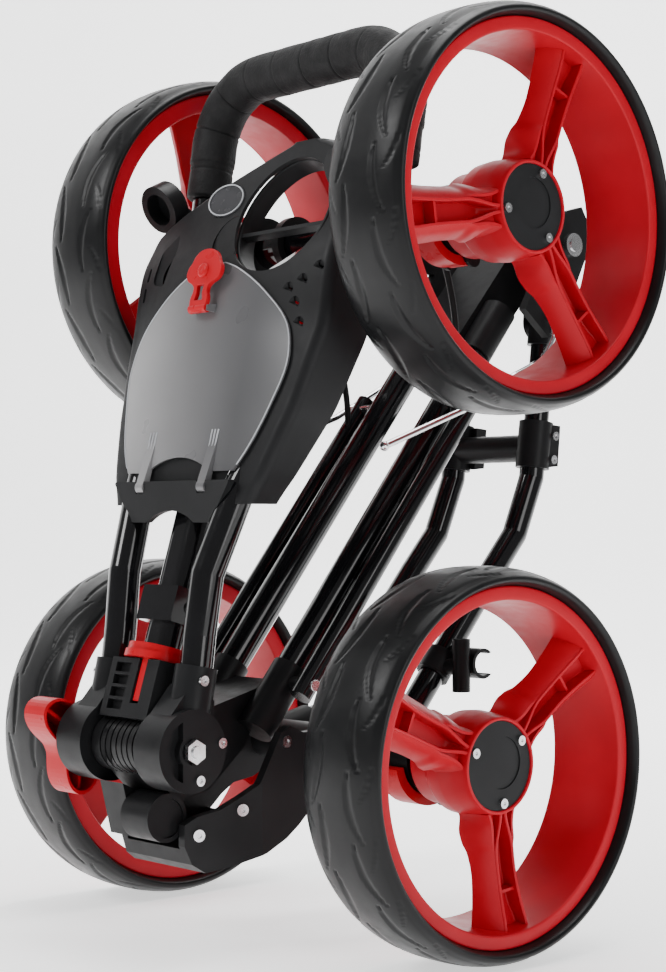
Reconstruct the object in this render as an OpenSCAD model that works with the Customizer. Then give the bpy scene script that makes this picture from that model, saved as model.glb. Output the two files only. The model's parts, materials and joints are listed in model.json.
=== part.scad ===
// Folding four-wheel golf push trolley, shown folded and standing up.
// Millimetres, +Z up, +X towards the right-hand wheels, -Y is the console side.
// Origin: on the ground, below the middle of the folded trolley. Sizes in this file count
// from the front axle, and centred() moves each part to the origin.

/* [Wheels] */
// Outer radius of a rear tyre
rear_tyre_r = 137; // [120:1:150]
// Outer radius of a front tyre
front_tyre_r = 128; // [115:1:145]
// Rubber height outside the rim flange
tyre_h = 12; // [8:0.5:18]
// Width of a tyre
tyre_w = 70; // [50:1:80]
// Width of a rim
rim_w = 55; // [40:1:65]
// Rear wheel centre to the mid-plane
rear_half_track = 157.7; // [150:0.1:180]
// Front wheel centre to the mid-plane
front_half_track = 170.3; // [160:0.1:190]
// Rear wheel hub cap set back from the rim face
rear_cap_set = 5; // [2:0.5:12]
// Front wheel hub cap set back from the rim face
front_cap_set = 9.5; // [2:0.5:14]
// Radius of both wheel axles
axle_r = 6; // [5:0.25:8]

/* [Frame] */
// Height of the front axle above the ground when folded
front_axle_z = 128; // [115:1:145]
// Rear axle, distance behind the front axle when folded
rear_axle_y = 41; // [20:1:60]
// Rear axle height when folded
rear_axle_z = 493; // [470:1:520]
// Fold pivot, distance behind the front axle
pivot_y = 212; // [200:1:240]
// Fold pivot height
pivot_z = 496; // [480:1:520]
// Handle pivot, distance behind the front axle
handle_y = -147; // [-160:1:-130]
// Handle pivot height
handle_z = 137; // [120:1:150]
// Radius of a spine tube
spine_r = 11; // [9:0.5:13]
// Spine tube to the mid-plane
spine_x = 32; // [26:1:36]
// Radius of a front leg tube
leg_r = 9.5; // [8:0.5:11]
// Front leg tube to the mid-plane
leg_x = 42; // [38:1:46]

/* [Handle] */
// Radius of the handle tube
stem_r = 11; // [9:0.5:12]
// Radius of the foam grip
grip_r = 17; // [14:0.5:18]
// Half width between the handle tubes at the pivot
stem_x = 44; // [42:1:50]
// Half width of the handle at the grip
grip_x = 102; // [90:1:103]
// Height of the top of the handle tube centre line
grip_top_z = 613; // [580:1:640]
// Bend radius of the handle at its top corners
grip_bend = 46; // [30:1:60]
// Wall of the console shell
shell_t = 3; // [2:0.5:4]
// Radius of the cup opening
cup_r = 44; // [35:1:48]

/* [Hidden] */
$fn = 96;
// Middle of the folded trolley behind the front axle
middle_y = 29.34;
running_gap = 0.05;
gap = 0.1;
rear_axle_p = [0, rear_axle_y, rear_axle_z];
front_axle_p = [0, 0, front_axle_z];
pivot_p = [0, pivot_y, pivot_z];
handle_p = [0, handle_y, handle_z];
rear_rim_r = rear_tyre_r - tyre_h;
front_rim_r = front_tyre_r - tyre_h;
rear_cap_z = rim_w / 2 - rear_cap_set;
front_cap_z = rim_w / 2 - front_cap_set;
// Unit direction of the spine tubes, from the handle pivot end upwards
spine_dir = [0, 0.8, 1] / norm([0, 0.8, 1]);
spine_low = [0, -70, 149.5];
spine_len = 375;
// Unit direction of the centre post
post_dir = [0, 0.29, 0.957];
post_len = 312;
post_lean = atan(0.29 / 0.957);
post_top = handle_p + post_dir * post_len;
post_start = 40;
post_w = 30;
post_d = 19;
post_foot_half = 12;
// Moulded sleeve on the post, as distances up the post from the handle pivot
sleeve_s = 82;
sleeve_h = 24;
sleeve_half = 19;
sleeve_d = 27;
// Latch block on the post foot
latch_s = 14;
latch_h = 40;
latch_half = 26;
latch_d = 38;
recess_count = 4;
recess_pitch = 8.4;
recess_depth = 4;
slot_depth = 8;
collar_s = latch_s + latch_h + 1;
collar_out = 24;
// Hub of the handle pivot
hub_half = 28;
hub_r = 19;
web_half = 25;
bag_rest_p = [0, -145, 91];
collar_r = 13;
clamp_bolt_r = 4;
// Stack of plates at the fold pivot, counted outwards from the mid-plane
bracket_half = 26;
yoke_in = 30;
yoke_out = 38;
arm_in = 56;
arm_out = 63;
pivot_bolt_r = 5;
// Axles and their quick-release housings
beam_r = 15;
front_beam_r = 14;
rear_beam_half = 91;
front_beam_half = 103;
housing_w = 26;
housing_r = 24;
lug_w = 3;
tab_pin_r = 2.2;
tab_hinge = [0, 10, -27];
rear_axle_half = 175;
front_axle_half = 183;
// Wheel hubs, along the axle from the wheel centre
hub_in_z = -37;
cap_h = 4;
cap_r = 28.6;
bearing_w = 8;
bearing_r = 14;
// Handle sockets and knob, counted outwards from the mid-plane
socket_in = 30;
socket_out = 58;
disc_r = 27;
knob_in = 62;
knob_h = 24;
knob_waist = 19.5;
knob_reach = 20.1;
knob_wall = 2.6;
knob_boss = 7.5;
knob_turn = 65;
socket_screw_at = [[-139, 182], [-124, 141], [-142, 118]];
wire_x = 68;
wire_r = 2.5;
// Lid hinge at its two lower tabs, and the hinge of its clip
lid_hinge_y = -119.5;
lid_hinge_z = 308;
lid_tab_x = 34;
clip_hinge_y = -97.5;
clip_hinge_z = 430;
clip_half = 9;
clip_lean = atan(0.236);

/* ---- helpers ---- */

// Solid round bar from p to q
module bar(p, q, r) {
  d = q - p;
  translate(p)
    rotate([0, acos(d[2] / norm(d)), atan2(d[1], d[0])])
      cylinder(h = norm(d), r = r);
}

// Round bar through a list of points, with rounded corners
module bent_bar(points, r) {
  for (i = [0 : len(points) - 2]) bar(points[i], points[i + 1], r);
  for (i = [1 : len(points) - 2]) translate(points[i]) sphere(r = r + 0.02);
}

// Cylinder along X through y, z
module rod_x(p, x0, x1, r) {
  translate([x0, p[1], p[2]]) rotate([0, 90, 0]) cylinder(h = x1 - x0, r = r);
}

// Plate whose outline is drawn in Y and Z
module plate_x(x0, x1, outline) {
  translate([x0, 0, 0])
    rotate([90, 0, 90])
      linear_extrude(height = x1 - x0) polygon(outline);
}

// Straight strip with round ends, in the Y, Z plane
module strap_x(p, q, x0, x1, r) {
  d = q - p;
  n = [-d[2], d[1]] * r / norm(d);
  rod_x(p, x0, x1, r);
  rod_x(q, x0, x1, r);
  plate_x(x0, x1, [
    [p[1] + n[0], p[2] + n[1]], [q[1] + n[0], q[2] + n[1]],
    [q[1] - n[0], q[2] - n[1]], [p[1] - n[0], p[2] - n[1]]
  ]);
}

// Box standing along the centre post direction, centred on a point s up the post
module post_box(s, width, depth, height) {
  translate(handle_p + post_dir * s)
    rotate([-post_lean, 0, 0])
      translate([-width / 2, -depth / 2, 0])
        cube([width, depth, height]);
}

// Children placed on the left side, as a mirror image
module left() {
  mirror([1, 0, 0]) children();
}

module both() {
  children();
  left() children();
}

/* ---- main frame ---- */

function spine_at(s) = spine_low + spine_dir * s;
function beside(p, x) = [x, p[1], p[2]];

module spine_tube(x) {
  color([0.03, 0.03, 0.035])
    difference() {
      bar(beside(spine_at(0), x), beside(spine_at(spine_len), x), spine_r);
      bar(beside(spine_at(-1), x), beside(spine_at(spine_len + 1), x), spine_r - 1.5);
    }
}

module centre_post() {
  color([0.03, 0.03, 0.035]) {
    // flat-oval tube
    translate(handle_p + post_dir * post_start)
      rotate([-post_lean, 0, 0])
        linear_extrude(height = post_len - post_start)
          difference() {
            flat_oval(post_w, post_d);
            flat_oval(post_w - 4, post_d - 4);
          }
    // moulded sleeve above the release collar
    difference() {
      post_box(sleeve_s, 2 * sleeve_half, sleeve_d, sleeve_h);
      translate(handle_p + post_dir * (sleeve_s - 1))
        rotate([-post_lean, 0, 0])
          linear_extrude(height = sleeve_h + 2) flat_oval(post_w, post_d);
    }
  }
}

module flat_oval(w, d) {
  square([w - d, d], center = true);
  for (side = [-1, 1]) translate([side * (w - d) / 2, 0]) circle(d = d);
}

module latch_block() {
  color([0.19, 0.19, 0.2])
    difference() {
      post_box(latch_s, 2 * latch_half, latch_d, latch_h);
      // pocket for the foot of the post
      translate(handle_p + post_dir * post_start)
        rotate([-post_lean, 0, 0])
          linear_extrude(height = post_len) flat_oval(post_w + gap, post_d + gap);
      // row of shallow thumb recesses
      for (k = [0 : recess_count - 1])
        post_cut(latch_s + 5 + k * recess_pitch, -20, -4, recess_depth, recess_pitch - 2);
      // slot in which the release bar shows
      post_cut(latch_s + 10, 4, 13, slot_depth, latch_h);
      // flare below the block is cut away around the hub
      rod_x(handle_p, -latch_half - 1, latch_half + 1, hub_r + gap);
    }
}

// Cut into the front of the latch block between two X values
module post_cut(s, x0, x1, depth, height) {
  translate(handle_p + post_dir * s)
    rotate([-post_lean, 0, 0])
      translate([x0, -latch_d / 2 - 1, 0])
        cube([x1 - x0, depth + 1, height]);
}

module lower_knuckle() {
  color([0.13, 0.13, 0.14])
    difference() {
      union() {
        rod_x(handle_p, -hub_half, hub_half, hub_r);
        // web from the hub down to the bag rest and back to the spine tubes
        difference() {
          plate_x(-web_half, web_half, [
            [handle_y + 4, handle_z + 17], [handle_y + 34, handle_z + 22],
            [spine_at(34)[1], spine_at(34)[2]], [spine_at(6)[1], spine_at(6)[2]],
            [-78, 132], [-108, 106], [-134, 100], [handle_y - 12, handle_z - 12]
          ]);
          post_box(latch_s - gap, 2 * latch_half + 2, latch_d + 2 * gap, latch_h);
        }
        for (side = [-1, 1])
          bar(beside(spine_at(-8), side * spine_x), beside(spine_at(44), side * spine_x), collar_r);
        // upper bag rest, under the hub while folded
        rod_x(bag_rest_p, -2, hub_half, 16);
        plate_x(-hub_half, -2, [
          [-159, 112], [-134, 99.8], [-108, 105.8], [-112, 84], [-132, 73], [-150, 76]
        ]);
      }
      for (side = [-1, 1])
        bar(beside(spine_at(0), side * spine_x), beside(spine_at(46), side * spine_x), spine_r + gap);
      rod_x(bag_rest_p, hub_half - 1.5, hub_half + 1, 13);
      rod_x(handle_p, -hub_half - 1, hub_half + 1, clamp_bolt_r + running_gap);
      for (x = [-18 : 6 : 18])
        translate([x - 0.75, 0, 0]) hub_groove(1.5);
    }
}

// Shallow ring cut round the hub, at the front half only
module hub_groove(w) {
  difference() {
    rod_x(handle_p, 0, w, hub_r + 1);
    rod_x(handle_p, -1, w + 1, hub_r - 1);
    plate_x(-1, w + 1, [
      [handle_y - 5, handle_z - 40], [handle_y + 60, handle_z - 40],
      [handle_y + 60, handle_z + 40], [handle_y - 5, handle_z + 40]
    ]);
  }
}

module fold_bracket() {
  color([0.13, 0.13, 0.14])
    difference() {
      union() {
        strap_x(spine_at(spine_len - 38) + [0, 0, 0], pivot_p, -bracket_half, bracket_half, 17);
        for (side = [-1, 1])
          bar(beside(spine_at(spine_len - 42), side * spine_x),
              beside(spine_at(spine_len + 3), side * spine_x), collar_r);
      }
      for (side = [-1, 1])
        bar(beside(spine_at(spine_len - 80), side * spine_x),
            beside(spine_at(spine_len + gap), side * spine_x), spine_r + 2 * gap);
      rod_x(pivot_p, -bracket_half - 1, bracket_half + 1, pivot_bolt_r + running_gap);
    }
}

module fold_pivot_bolt() {
  color([0.75, 0.75, 0.76]) {
    rod_x(pivot_p, -arm_out - 6, arm_out + 6, pivot_bolt_r);
    both() rod_x(pivot_p, arm_out + gap, arm_out + 5, 9);
  }
}

// Rear arm: from the fold pivot to the rear axle beam, with a tail along the spine
module rear_arm(side) {
  color([0.1, 0.1, 0.11])
    mirror([side < 0 ? 1 : 0, 0, 0])
      difference() {
        union() {
          strap_x(pivot_p, rear_axle_p, arm_in, arm_out, 13);
          rod_x(rear_axle_p, arm_in, arm_out, 21);
          plate_x(arm_in, arm_out, [
            [pivot_y + 14, pivot_z + 31], [pivot_y + 28, pivot_z + 10],
            [pivot_y + 4, pivot_z - 36], [pivot_y - 24, pivot_z - 72],
            [pivot_y - 50, pivot_z - 52], [pivot_y - 24, pivot_z - 8], [pivot_y - 4, pivot_z + 26]
          ]);
        }
        rod_x([0, 187, 438], arm_in - 1, arm_out + 1, wire_r + gap);
        rod_x(pivot_p, arm_in - 1, arm_out + 1, pivot_bolt_r + running_gap);
        rod_x(rear_axle_p, arm_in - 1, arm_out + 1, beam_r + gap);
      }
}

module rear_axle_beam() {
  color([0.03, 0.03, 0.035])
    difference() {
      union() {
        rod_x(rear_axle_p, -rear_beam_half, rear_beam_half, beam_r);
        // foot of the centre post
        strap_x(post_top, rear_axle_p, -post_foot_half, post_foot_half, 9);
        post_box(post_len - 26, 2 * sleeve_half, sleeve_d, 34);
      }
      translate(handle_p)
        rotate([-post_lean, 0, 0])
          linear_extrude(height = post_len) flat_oval(post_w + gap, post_d + gap);
      rod_x(rear_axle_p, -rear_beam_half - 1, rear_beam_half + 1, axle_r + running_gap);
    }
}

module rear_axle() {
  color([0.7, 0.7, 0.71])
    rod_x(rear_axle_p, -rear_axle_half, rear_axle_half, axle_r);
}

// Quick-release housing on an axle end, drawn on the right
module hub_housing(p, x0) {
  difference() {
    union() {
      rod_x(p, x0, x0 + housing_w, housing_r);
      for (x = [x0, x0 + housing_w - lug_w]) {
        rod_x(p + tab_hinge, x, x + lug_w, 6);
        plate_x(x, x + lug_w, [
          [p[1] - 4, p[2] - 18], [p[1] + 4, p[2] - 30], [p[1] + 14, p[2] - 30], [p[1] + 15, p[2] - 15]
        ]);
      }
      rod_x(p + tab_hinge, x0, x0 + housing_w, tab_pin_r);
    }
    rod_x(p, x0 - 1, x0 + housing_w + 1, axle_r + running_gap);
    // ring step on the outer face
    difference() {
      rod_x(p, x0 + housing_w - 1.5, x0 + housing_w + 1, housing_r + 0.5);
      rod_x(p, x0 + housing_w - 2, x0 + housing_w + 2, housing_r - 3);
    }
  }
}

// Red release tab that wraps the housing below the axle, drawn on the right
module release_tab(p, x0) {
  color([0.75, 0.06, 0.08])
    difference() {
      union() {
        intersection() {
          difference() {
            rod_x(p, x0 + lug_w + 0.5, x0 + housing_w - lug_w - 0.5, housing_r + 8);
            rod_x(p, x0, x0 + housing_w, housing_r + 1.5);
          }
          plate_x(x0, x0 + housing_w, [
            [p[1], p[2]], [p[1] - 60, p[2] - 12], [p[1] - 60, p[2] - 60],
            [p[1] + tab_hinge[1], p[2] - 60], [p[1] + tab_hinge[1], p[2] + tab_hinge[2]]
          ]);
        }
        rod_x(p + tab_hinge, x0 + lug_w + 0.5, x0 + housing_w - lug_w - 0.5, 4.5);
      }
      rod_x(p + tab_hinge, x0, x0 + housing_w, tab_pin_r + running_gap);
      rod_x(p, x0, x0 + housing_w, housing_r + 1);
    }
}

// Two ball bearings on one stub, drawn on the right
module wheel_bearings(p, centre_x, cap_z) {
  color([0.7, 0.7, 0.71])
    for (x = [centre_x + hub_in_z + 0.3, centre_x + cap_z - cap_h - bearing_w - 0.3])
      difference() {
        rod_x(p, x, x + bearing_w, bearing_r);
        rod_x(p, x - 1, x + bearing_w + 1, axle_r);
      }
}

module on_side(side) {
  mirror([side < 0 ? 1 : 0, 0, 0]) children();
}

module rear_hub_housing(side) {
  color([0.1, 0.1, 0.11]) on_side(side) hub_housing(rear_axle_p, rear_beam_half + gap);
}

module front_hub_housing(side) {
  color([0.1, 0.1, 0.11]) on_side(side) hub_housing(front_axle_p, front_beam_half + gap);
}

module rear_release_tab(side) {
  on_side(side) release_tab(rear_axle_p, rear_beam_half + gap);
}

module front_release_tab(side) {
  on_side(side) release_tab(front_axle_p, front_beam_half + gap);
}

module rear_bearings() {
  both() wheel_bearings(rear_axle_p, rear_half_track, rear_cap_z);
}

module front_bearings() {
  both() wheel_bearings(front_axle_p, front_half_track, front_cap_z);
}

module bag_wires() {
  color([0.8, 0.8, 0.81])
    both() {
      bent_bar([
        [wire_x, 12, 337], [wire_x, 90, 365], [wire_x, 145, 393], [wire_x, 176, 406],
        [wire_x, 187, 424], [wire_x, 187, 438], [arm_in + 1, 187, 438]
      ], wire_r);
      translate([wire_x, 12, 337]) sphere(r = wire_r + 1);
      // welded stub to the side of the spine tube
      rod_x([0, 103, 371.5], spine_x + spine_r + running_gap, wire_x, wire_r);
    }
}

// Clear of the post at the top, it slides up to free the handle
module release_collar() {
  color([0.75, 0.06, 0.08]) {
    difference() {
      union() {
        translate(handle_p + post_dir * collar_s)
          rotate([-post_lean, 0, 0])
            for (k = [0 : 1])
              translate([0, 0, k * 5]) cylinder(h = 5, r = collar_out - 1.5 * k);
      }
      translate(handle_p + post_dir * (collar_s - 1))
        rotate([-post_lean, 0, 0])
          linear_extrude(height = 30) flat_oval(post_w + 1, post_d + 1);
    }
    // bar that shows in the slot of the latch block
    translate(handle_p + post_dir * (latch_s + 12))
      rotate([-post_lean, 0, 0])
        translate([5, -latch_d / 2 + 1.5, 0])
          cube([7, slot_depth - 2.5, collar_s - latch_s - 10]);
  }
}

/* ---- handle ---- */

// Centre line of one stem, from its socket to the foot of the grip
stem_path = [
  [stem_x, -136, 170], [stem_x, -131, 210], [stem_x + 2, -126, 250], [55, -106, 307],
  [grip_x, -12, 512]
];
socket_top = stem_path[0] + (stem_path[1] - stem_path[0]) * 0.5;
grip_lean = 9;
grip_rise = (grip_top_z - 512) / cos(grip_lean) - grip_bend;

// U-shaped run over the top; the child is its cross-section
module grip_run(start) {
  translate([0, stem_path[4][1], stem_path[4][2]])
    rotate([-grip_lean, 0, 0]) {
      both() {
        translate([grip_x, 0, start]) linear_extrude(height = grip_rise - start) children();
        translate([grip_x - grip_bend, 0, grip_rise])
          rotate([90, 0, 0])
            rotate_extrude(angle = 90) translate([grip_bend, 0]) children();
      }
      translate([-grip_x + grip_bend, 0, grip_rise + grip_bend])
        rotate([0, 90, 0])
          linear_extrude(height = 2 * (grip_x - grip_bend)) children();
    }
}

module handle_tube() {
  color([0.03, 0.03, 0.035]) {
    grip_run(0) circle(r = stem_r);
    both() {
      bent_bar(stem_path, stem_r);
      translate(stem_path[4]) sphere(r = stem_r + 0.02);
    }
  }
}

module foam_grip() {
  color([0.06, 0.06, 0.06])
    grip_run(14)
      difference() {
        circle(r = grip_r);
        circle(r = stem_r + gap);
      }
}

// Handle socket: a disc on the pivot with a tube socket above, drawn on the right
module handle_socket(side) {
  low = [stem_x, handle_y + 4, handle_z + 8];
  color([0.2, 0.2, 0.21])
    mirror([side < 0 ? 1 : 0, 0, 0])
      difference() {
        union() {
          rod_x(handle_p, socket_in, socket_out, disc_r);
          bar(low, socket_top, stem_x - socket_in);
          plate_x(socket_in, stem_x + 8, [
            [handle_y - 20, handle_z + 16], [handle_y + 22, handle_z + 14],
            [handle_y + 22, handle_z + 31], [handle_y + 3, handle_z + 42]
          ]);
        }
        bar(stem_path[0], stem_path[1] + (stem_path[1] - stem_path[0]), stem_r + gap);
        rod_x(handle_p, socket_in - 1, socket_out + 1, clamp_bolt_r + running_gap);
        // crescent in the outer face of the disc
        difference() {
          rod_x(handle_p, socket_out - 5, socket_out + 1, disc_r - 6);
          rod_x(handle_p, socket_out - 6, socket_out + 2, 11);
          translate([0, handle_y - 8, 0]) cube([100, 60, 400]);
        }
        // seat for the hex head or the knob
        rod_x(handle_p, socket_out - 2, socket_out + 1, 8.5);
        for (at = socket_screw_at)
          rod_x([0, at[0], at[1]], stem_x, socket_out + 1, 1.6);
      }
}

module socket_screws() {
  color([0.75, 0.75, 0.76])
    for (side = [0, 1])
      mirror([side, 0, 0])
        for (at = socket_screw_at)
          screw_x([0, at[0], at[1]], stem_x + stem_r + 0.5, socket_out, 1.5, 3.4);
}

// Pan-head screw along X: shank from x0 to x1, head outside x1
module screw_x(p, x0, x1, shank_r, head_r) {
  rod_x(p, x0, x1, shank_r);
  difference() {
    rod_x(p, x1 + 0.05, x1 + 2, head_r);
    rod_x(p, x1 + 1, x1 + 3, head_r * 0.45);
  }
  rod_x(p, x1 - 0.1, x1 + 0.2, shank_r);
}

module clamp_bolt() {
  color([0.75, 0.75, 0.76]) {
    rod_x(handle_p, -knob_in - knob_h + 3, socket_out - 1.9, clamp_bolt_r);
    translate([socket_out - 1.9, handle_y, handle_z])
      rotate([0, 90, 0]) {
        cylinder(h = 6, r = 8, $fn = 6);
        cylinder(h = 7.5, r = 4);
      }
  }
}

// Three-lobed hand knob on the left end of the clamp bolt, hollow towards the handle socket
module clamp_knob() {
  color([0.75, 0.06, 0.08])
    translate([-knob_in, handle_y, handle_z])
      rotate([0, -90, 0])
        difference() {
          union() {
            difference() {
              linear_extrude(height = knob_h) knob_outline(0);
              translate([0, 0, -1]) linear_extrude(height = knob_h - 3) knob_outline(knob_wall);
            }
            // boss and one rib to the end of each lobe
            translate([0, 0, knob_in - socket_out - knob_boss])
              cylinder(h = knob_h + knob_boss - 5, r1 = 10.5, r2 = 13);
            for (k = [0 : 2])
              rotate([0, 0, k * 120 + knob_turn])
                translate([5, -1.2, 4]) cube([31, 2.4, knob_h - 6]);
          }
          translate([0, 0, -knob_in]) cylinder(h = knob_h * 4, r = clamp_bolt_r + running_gap);
        }
}

// Outline with three round lobes and hollow flanks, made smaller by t
module knob_outline(t) {
  polygon([
    for (a = [0 : 4 : 356])
      let (r = knob_waist + knob_reach * pow((1 + cos(3 * (a - knob_turn))) / 2, 1.3) - t)
        [r * cos(a), r * sin(a)]
  ]);
}

/* ---- console ---- */

// Front surface of the console: depth at the middle, and how far the edges curve back
front_mid = [[284, -121], [320, -114], [395, -97], [450, -84], [466, -79], [490, -66], [546, -41]];
front_curve = [[284, 5], [314, 7], [360, 12], [417, 15], [497, 8], [546, 3]];
edge_back = [[284, -96], [307, -86], [356, -60], [405, -40], [450, -30], [490, -22], [546, -24]];
edge_left = [[296, -74], [314, -83], [358, -97], [412, -107], [470, -108], [492, -103],
             [505, -80], [523, -34], [531, -12], [540, 14], [546, 34]];
edge_right = [[296, 74], [314, 83], [358, 97], [412, 107], [497, 107], [512, 105],
              [523, 100], [531, 93], [540, 78], [546, 58]];
lid_half = [[318, 58], [330, 66], [360, 79], [395, 86], [420, 76], [435, 60], [447, 42], [457, 26],
            [463, 16], [467, 7]];
console_width = 107;

function front_y(x, z) = lookup(z, front_mid) + lookup(z, front_curve) * pow(x / console_width, 2);

// Front points of a level, from left to right, moved inwards by t
function front_row(z, t, n) =
  let (x0 = lookup(z, edge_left) + t, x1 = lookup(z, edge_right) - t,
       r = min(9 - t, (x1 - x0) / 4))
  concat(
    [[x0, lookup(z, edge_back), z]],
    [for (a = [0 : 30 : 90])
      [x0 + r - r * cos(a), front_y(x0 + r, z) + t + r - r * sin(a), z]],
    [for (i = [1 : n - 1])
      let (x = x0 + r + (x1 - x0 - 2 * r) * i / n) [x, front_y(x, z) + t, z]],
    [for (a = [90 : -30 : 0])
      [x1 - r + r * cos(a), front_y(x1 - r, z) + t + r - r * sin(a), z]],
    [[x1, lookup(z, edge_back), z]]
  );

function reversed(list) = [for (i = [len(list) - 1 : -1 : 0]) list[i]];

// Closed skin through rings of points, lowest ring first; the second half of a ring is its
// inside, walked backwards
module loft(rings) {
  n = len(rings[0]);
  m = len(rings);
  polyhedron(
    points = [for (ring = rings) each ring],
    faces = concat(
      [for (i = [0 : n / 2 - 2]) each [[i, i + 1, n - 2 - i], [i, n - 2 - i, n - 1 - i]]],
      [for (k = [0 : m - 2]) for (i = [0 : n - 1])
        let (j = (i + 1) % n, a = k * n, b = (k + 1) * n)
        each [[a + i, b + j, a + j], [a + i, b + i, b + j]]],
      [for (i = [0 : n / 2 - 2]) let (t = (m - 1) * n)
        each [[t + i, t + n - 2 - i, t + i + 1], [t + i, t + n - 1 - i, t + n - 2 - i]]]
    )
  );
}

console_levels = concat([for (z = [296 : 16 : 488]) z], [495, 502, 509, 516, 523, 529, 535, 540, 544, 546]);
cup_p = [46, -58, 491];
cup_lean = 24;
cup_ring_h = 9.5;

// Children drawn along +Z come out through the cup opening, towards the console side
module at_cup() {
  translate(cup_p) rotate([90 - cup_lean, 0, 0]) children();
}

module console() {
  color([0.17, 0.17, 0.18])
    difference() {
      union() {
        difference() {
          union() {
            loft([for (z = console_levels)
              concat(front_row(z, 0, 10), reversed(front_row(z, shell_t, 10)))]);
            // lower lip that carries the lid hinge
            translate([0, -117.5, 0])
              rotate([90, 0, 0])
                linear_extrude(height = 5)
                  polygon([[-44, 284], [44, 284], [64, 312], [-64, 312]]);
          }
          at_cup() translate([0, 0, -30]) cylinder(h = 80, r = cup_r);
          translate([0, -200, 245]) rotate([-90, 0, 0]) cylinder(h = 120, r = 47);
        }
        at_cup() cup_ring();
        lid_lugs();
      }
      for (side = [0, 1])
        mirror([side, 0, 0]) bent_bar([for (i = [1 : 4]) stem_path[i]], stem_r + 0.4);
      for (at = tee_holes)
        translate([at[0], front_y(at[0], at[1]) - 8, at[1]]) rotate([-90, 0, 0]) cylinder(h = 20, r = 2.6);
      badge_place(-2) badge_outline(8, 0.3);
      // room for the umbrella sockets and the ends of the grip
      both() {
        bar([grip_x, -36, 524], [grip_x, -66, 509], 18.4);
        bar([grip_x - 0.5, -50, 518], [grip_x - 2, -16, 500], 9.4);
        bar(stem_on_z(488), stem_on_z(512), stem_r + 3.9);
        translate(stem_path[4]) rotate([-grip_lean, 0, 0]) cylinder(h = 60, r = grip_r + 0.6);
      }
      // room for the turning tabs of the lid
      for (side = [-1, 1])
        rod_x([0, lid_hinge_y, lid_hinge_z], side * lid_tab_x - 4.5, side * lid_tab_x + 4.5, 5.2);
    }
  color([0.17, 0.17, 0.18])
    for (side = [-1, 1])
      rod_x([0, lid_hinge_y, lid_hinge_z], side * lid_tab_x - 6.5, side * lid_tab_x + 6.5, 1.6);
}

module cup_ring() {
  difference() {
    translate([0, 0, -8]) cylinder(h = cup_ring_h, r = cup_r + 2.5);
    translate([0, 0, -9]) cylinder(h = cup_ring_h + 2, r = cup_r);
  }
  translate([-cup_r - 1, -11, -6]) cube([2 * cup_r + 2, 3, 7]);
}

module lid_lugs() {
  for (side = [-1, 1])
    for (x = [side * lid_tab_x - 7, side * lid_tab_x + 4.5])
      translate([x, 0, 0]) plate_x(0, 2.5, [
        [lid_hinge_y - 3, lid_hinge_z - 3], [lid_hinge_y + 5, lid_hinge_z - 5],
        [lid_hinge_y + 5, lid_hinge_z + 4], [lid_hinge_y - 2, lid_hinge_z + 3]
      ]);
}

// Ears of the lid that carry the clip on two short pins
module clip_lugs() {
  both() {
    plate_x(clip_half + 0.5, clip_half + 3, [
      [clip_hinge_y - 3, clip_hinge_z - 3], [clip_hinge_y + 7, clip_hinge_z - 4],
      [clip_hinge_y + 8, clip_hinge_z + 4], [clip_hinge_y - 2, clip_hinge_z + 3]
    ]);
    rod_x([0, clip_hinge_y, clip_hinge_z], clip_half - 5, clip_half + 1, 1.6);
  }
}

tee_holes = [[86, 452], [74, 441], [62, 434], [70, 424], [76, 413]];

// Children lie on the sloping face, left of the cup
module badge_place(depth) {
  translate([-21, front_y(-21, 511), 511])
    rotate([90 - cup_lean, 0, 0])
      translate([0, 0, depth])
        rotate([0, 0, -12])
          children();
}

module badge_outline(h, grow) {
  linear_extrude(height = h)
    polygon([for (a = [0 : 15 : 345]) [(21 + grow) * cos(a), (13.5 + grow) * sin(a)]]);
}

module console_badge() {
  color([0.3, 0.3, 0.31])
    badge_place(-1.9) badge_outline(2.4, 0);
}

// Frosted lid: a thin copy of the console front, held by two hinge tabs
module scorecard_lid() {
  levels = concat([for (z = [318 : 8 : 446]) z], [451, 455, 459, 463, 466]);
  color([0.85, 0.86, 0.88, 0.5])
    difference() {
      union() {
        difference() {
          loft([for (z = levels)
            concat(lid_row(z, lid_gap + lid_t), reversed(lid_row(z, lid_gap)))]);
          translate([0, -200, 262]) rotate([-90, 0, 0]) cylinder(h = 150, r = 66);
        }
        for (side = [-1, 1]) {
          rod_x([0, lid_hinge_y, lid_hinge_z], side * lid_tab_x - 4, side * lid_tab_x + 4, 4.2);
          plate_x(side * lid_tab_x - 4, side * lid_tab_x + 4, [
            [lid_hinge_y - 4.1, lid_hinge_z], [lid_hinge_y + 1.5, lid_hinge_z],
            [front_y(34, 334) - lid_gap, 334], [front_y(34, 340) - lid_gap - lid_t, 340]
          ]);
        }
        clip_lugs();
      }
      rod_x([0, lid_hinge_y, lid_hinge_z], -60, 60, 1.6 + running_gap);
    }
}

lid_gap = 0.8;
lid_t = 2;

function lid_row(z, lift) =
  let (w = lookup(z, lid_half))
  [for (i = [-8 : 8]) let (x = w * i / 8) [x, front_y(x, z) - lift, z]];

// Red clip on the lid: its top edge hooks over the console
module lid_clip() {
  color([0.8, 0.1, 0.12])
    difference() {
      translate([0, clip_hinge_y, clip_hinge_z])
        union() {
          rotate([0, 90, 0]) translate([0, 0, -clip_half]) cylinder(h = 2 * clip_half, r = 3.2);
          rotate([-clip_lean, 0, 0])
            rotate([90, 0, 0])
              difference() {
                translate([0, 0, -0.8])
                  linear_extrude(height = 3.4)
                    polygon([[-8, 1], [8, 1], [8, 4], [10, 12], [14, 22], [16, 34], [15.5, 45],
                             [-13, 45], [-16, 36], [-14, 24], [-8, 13]]);
                translate([-3, 9, -4]) cube([7, 8, 10]);
              }
        }
      rod_x([0, clip_hinge_y, clip_hinge_z], -20, 20, 1.6 + running_gap);
    }
}

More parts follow.
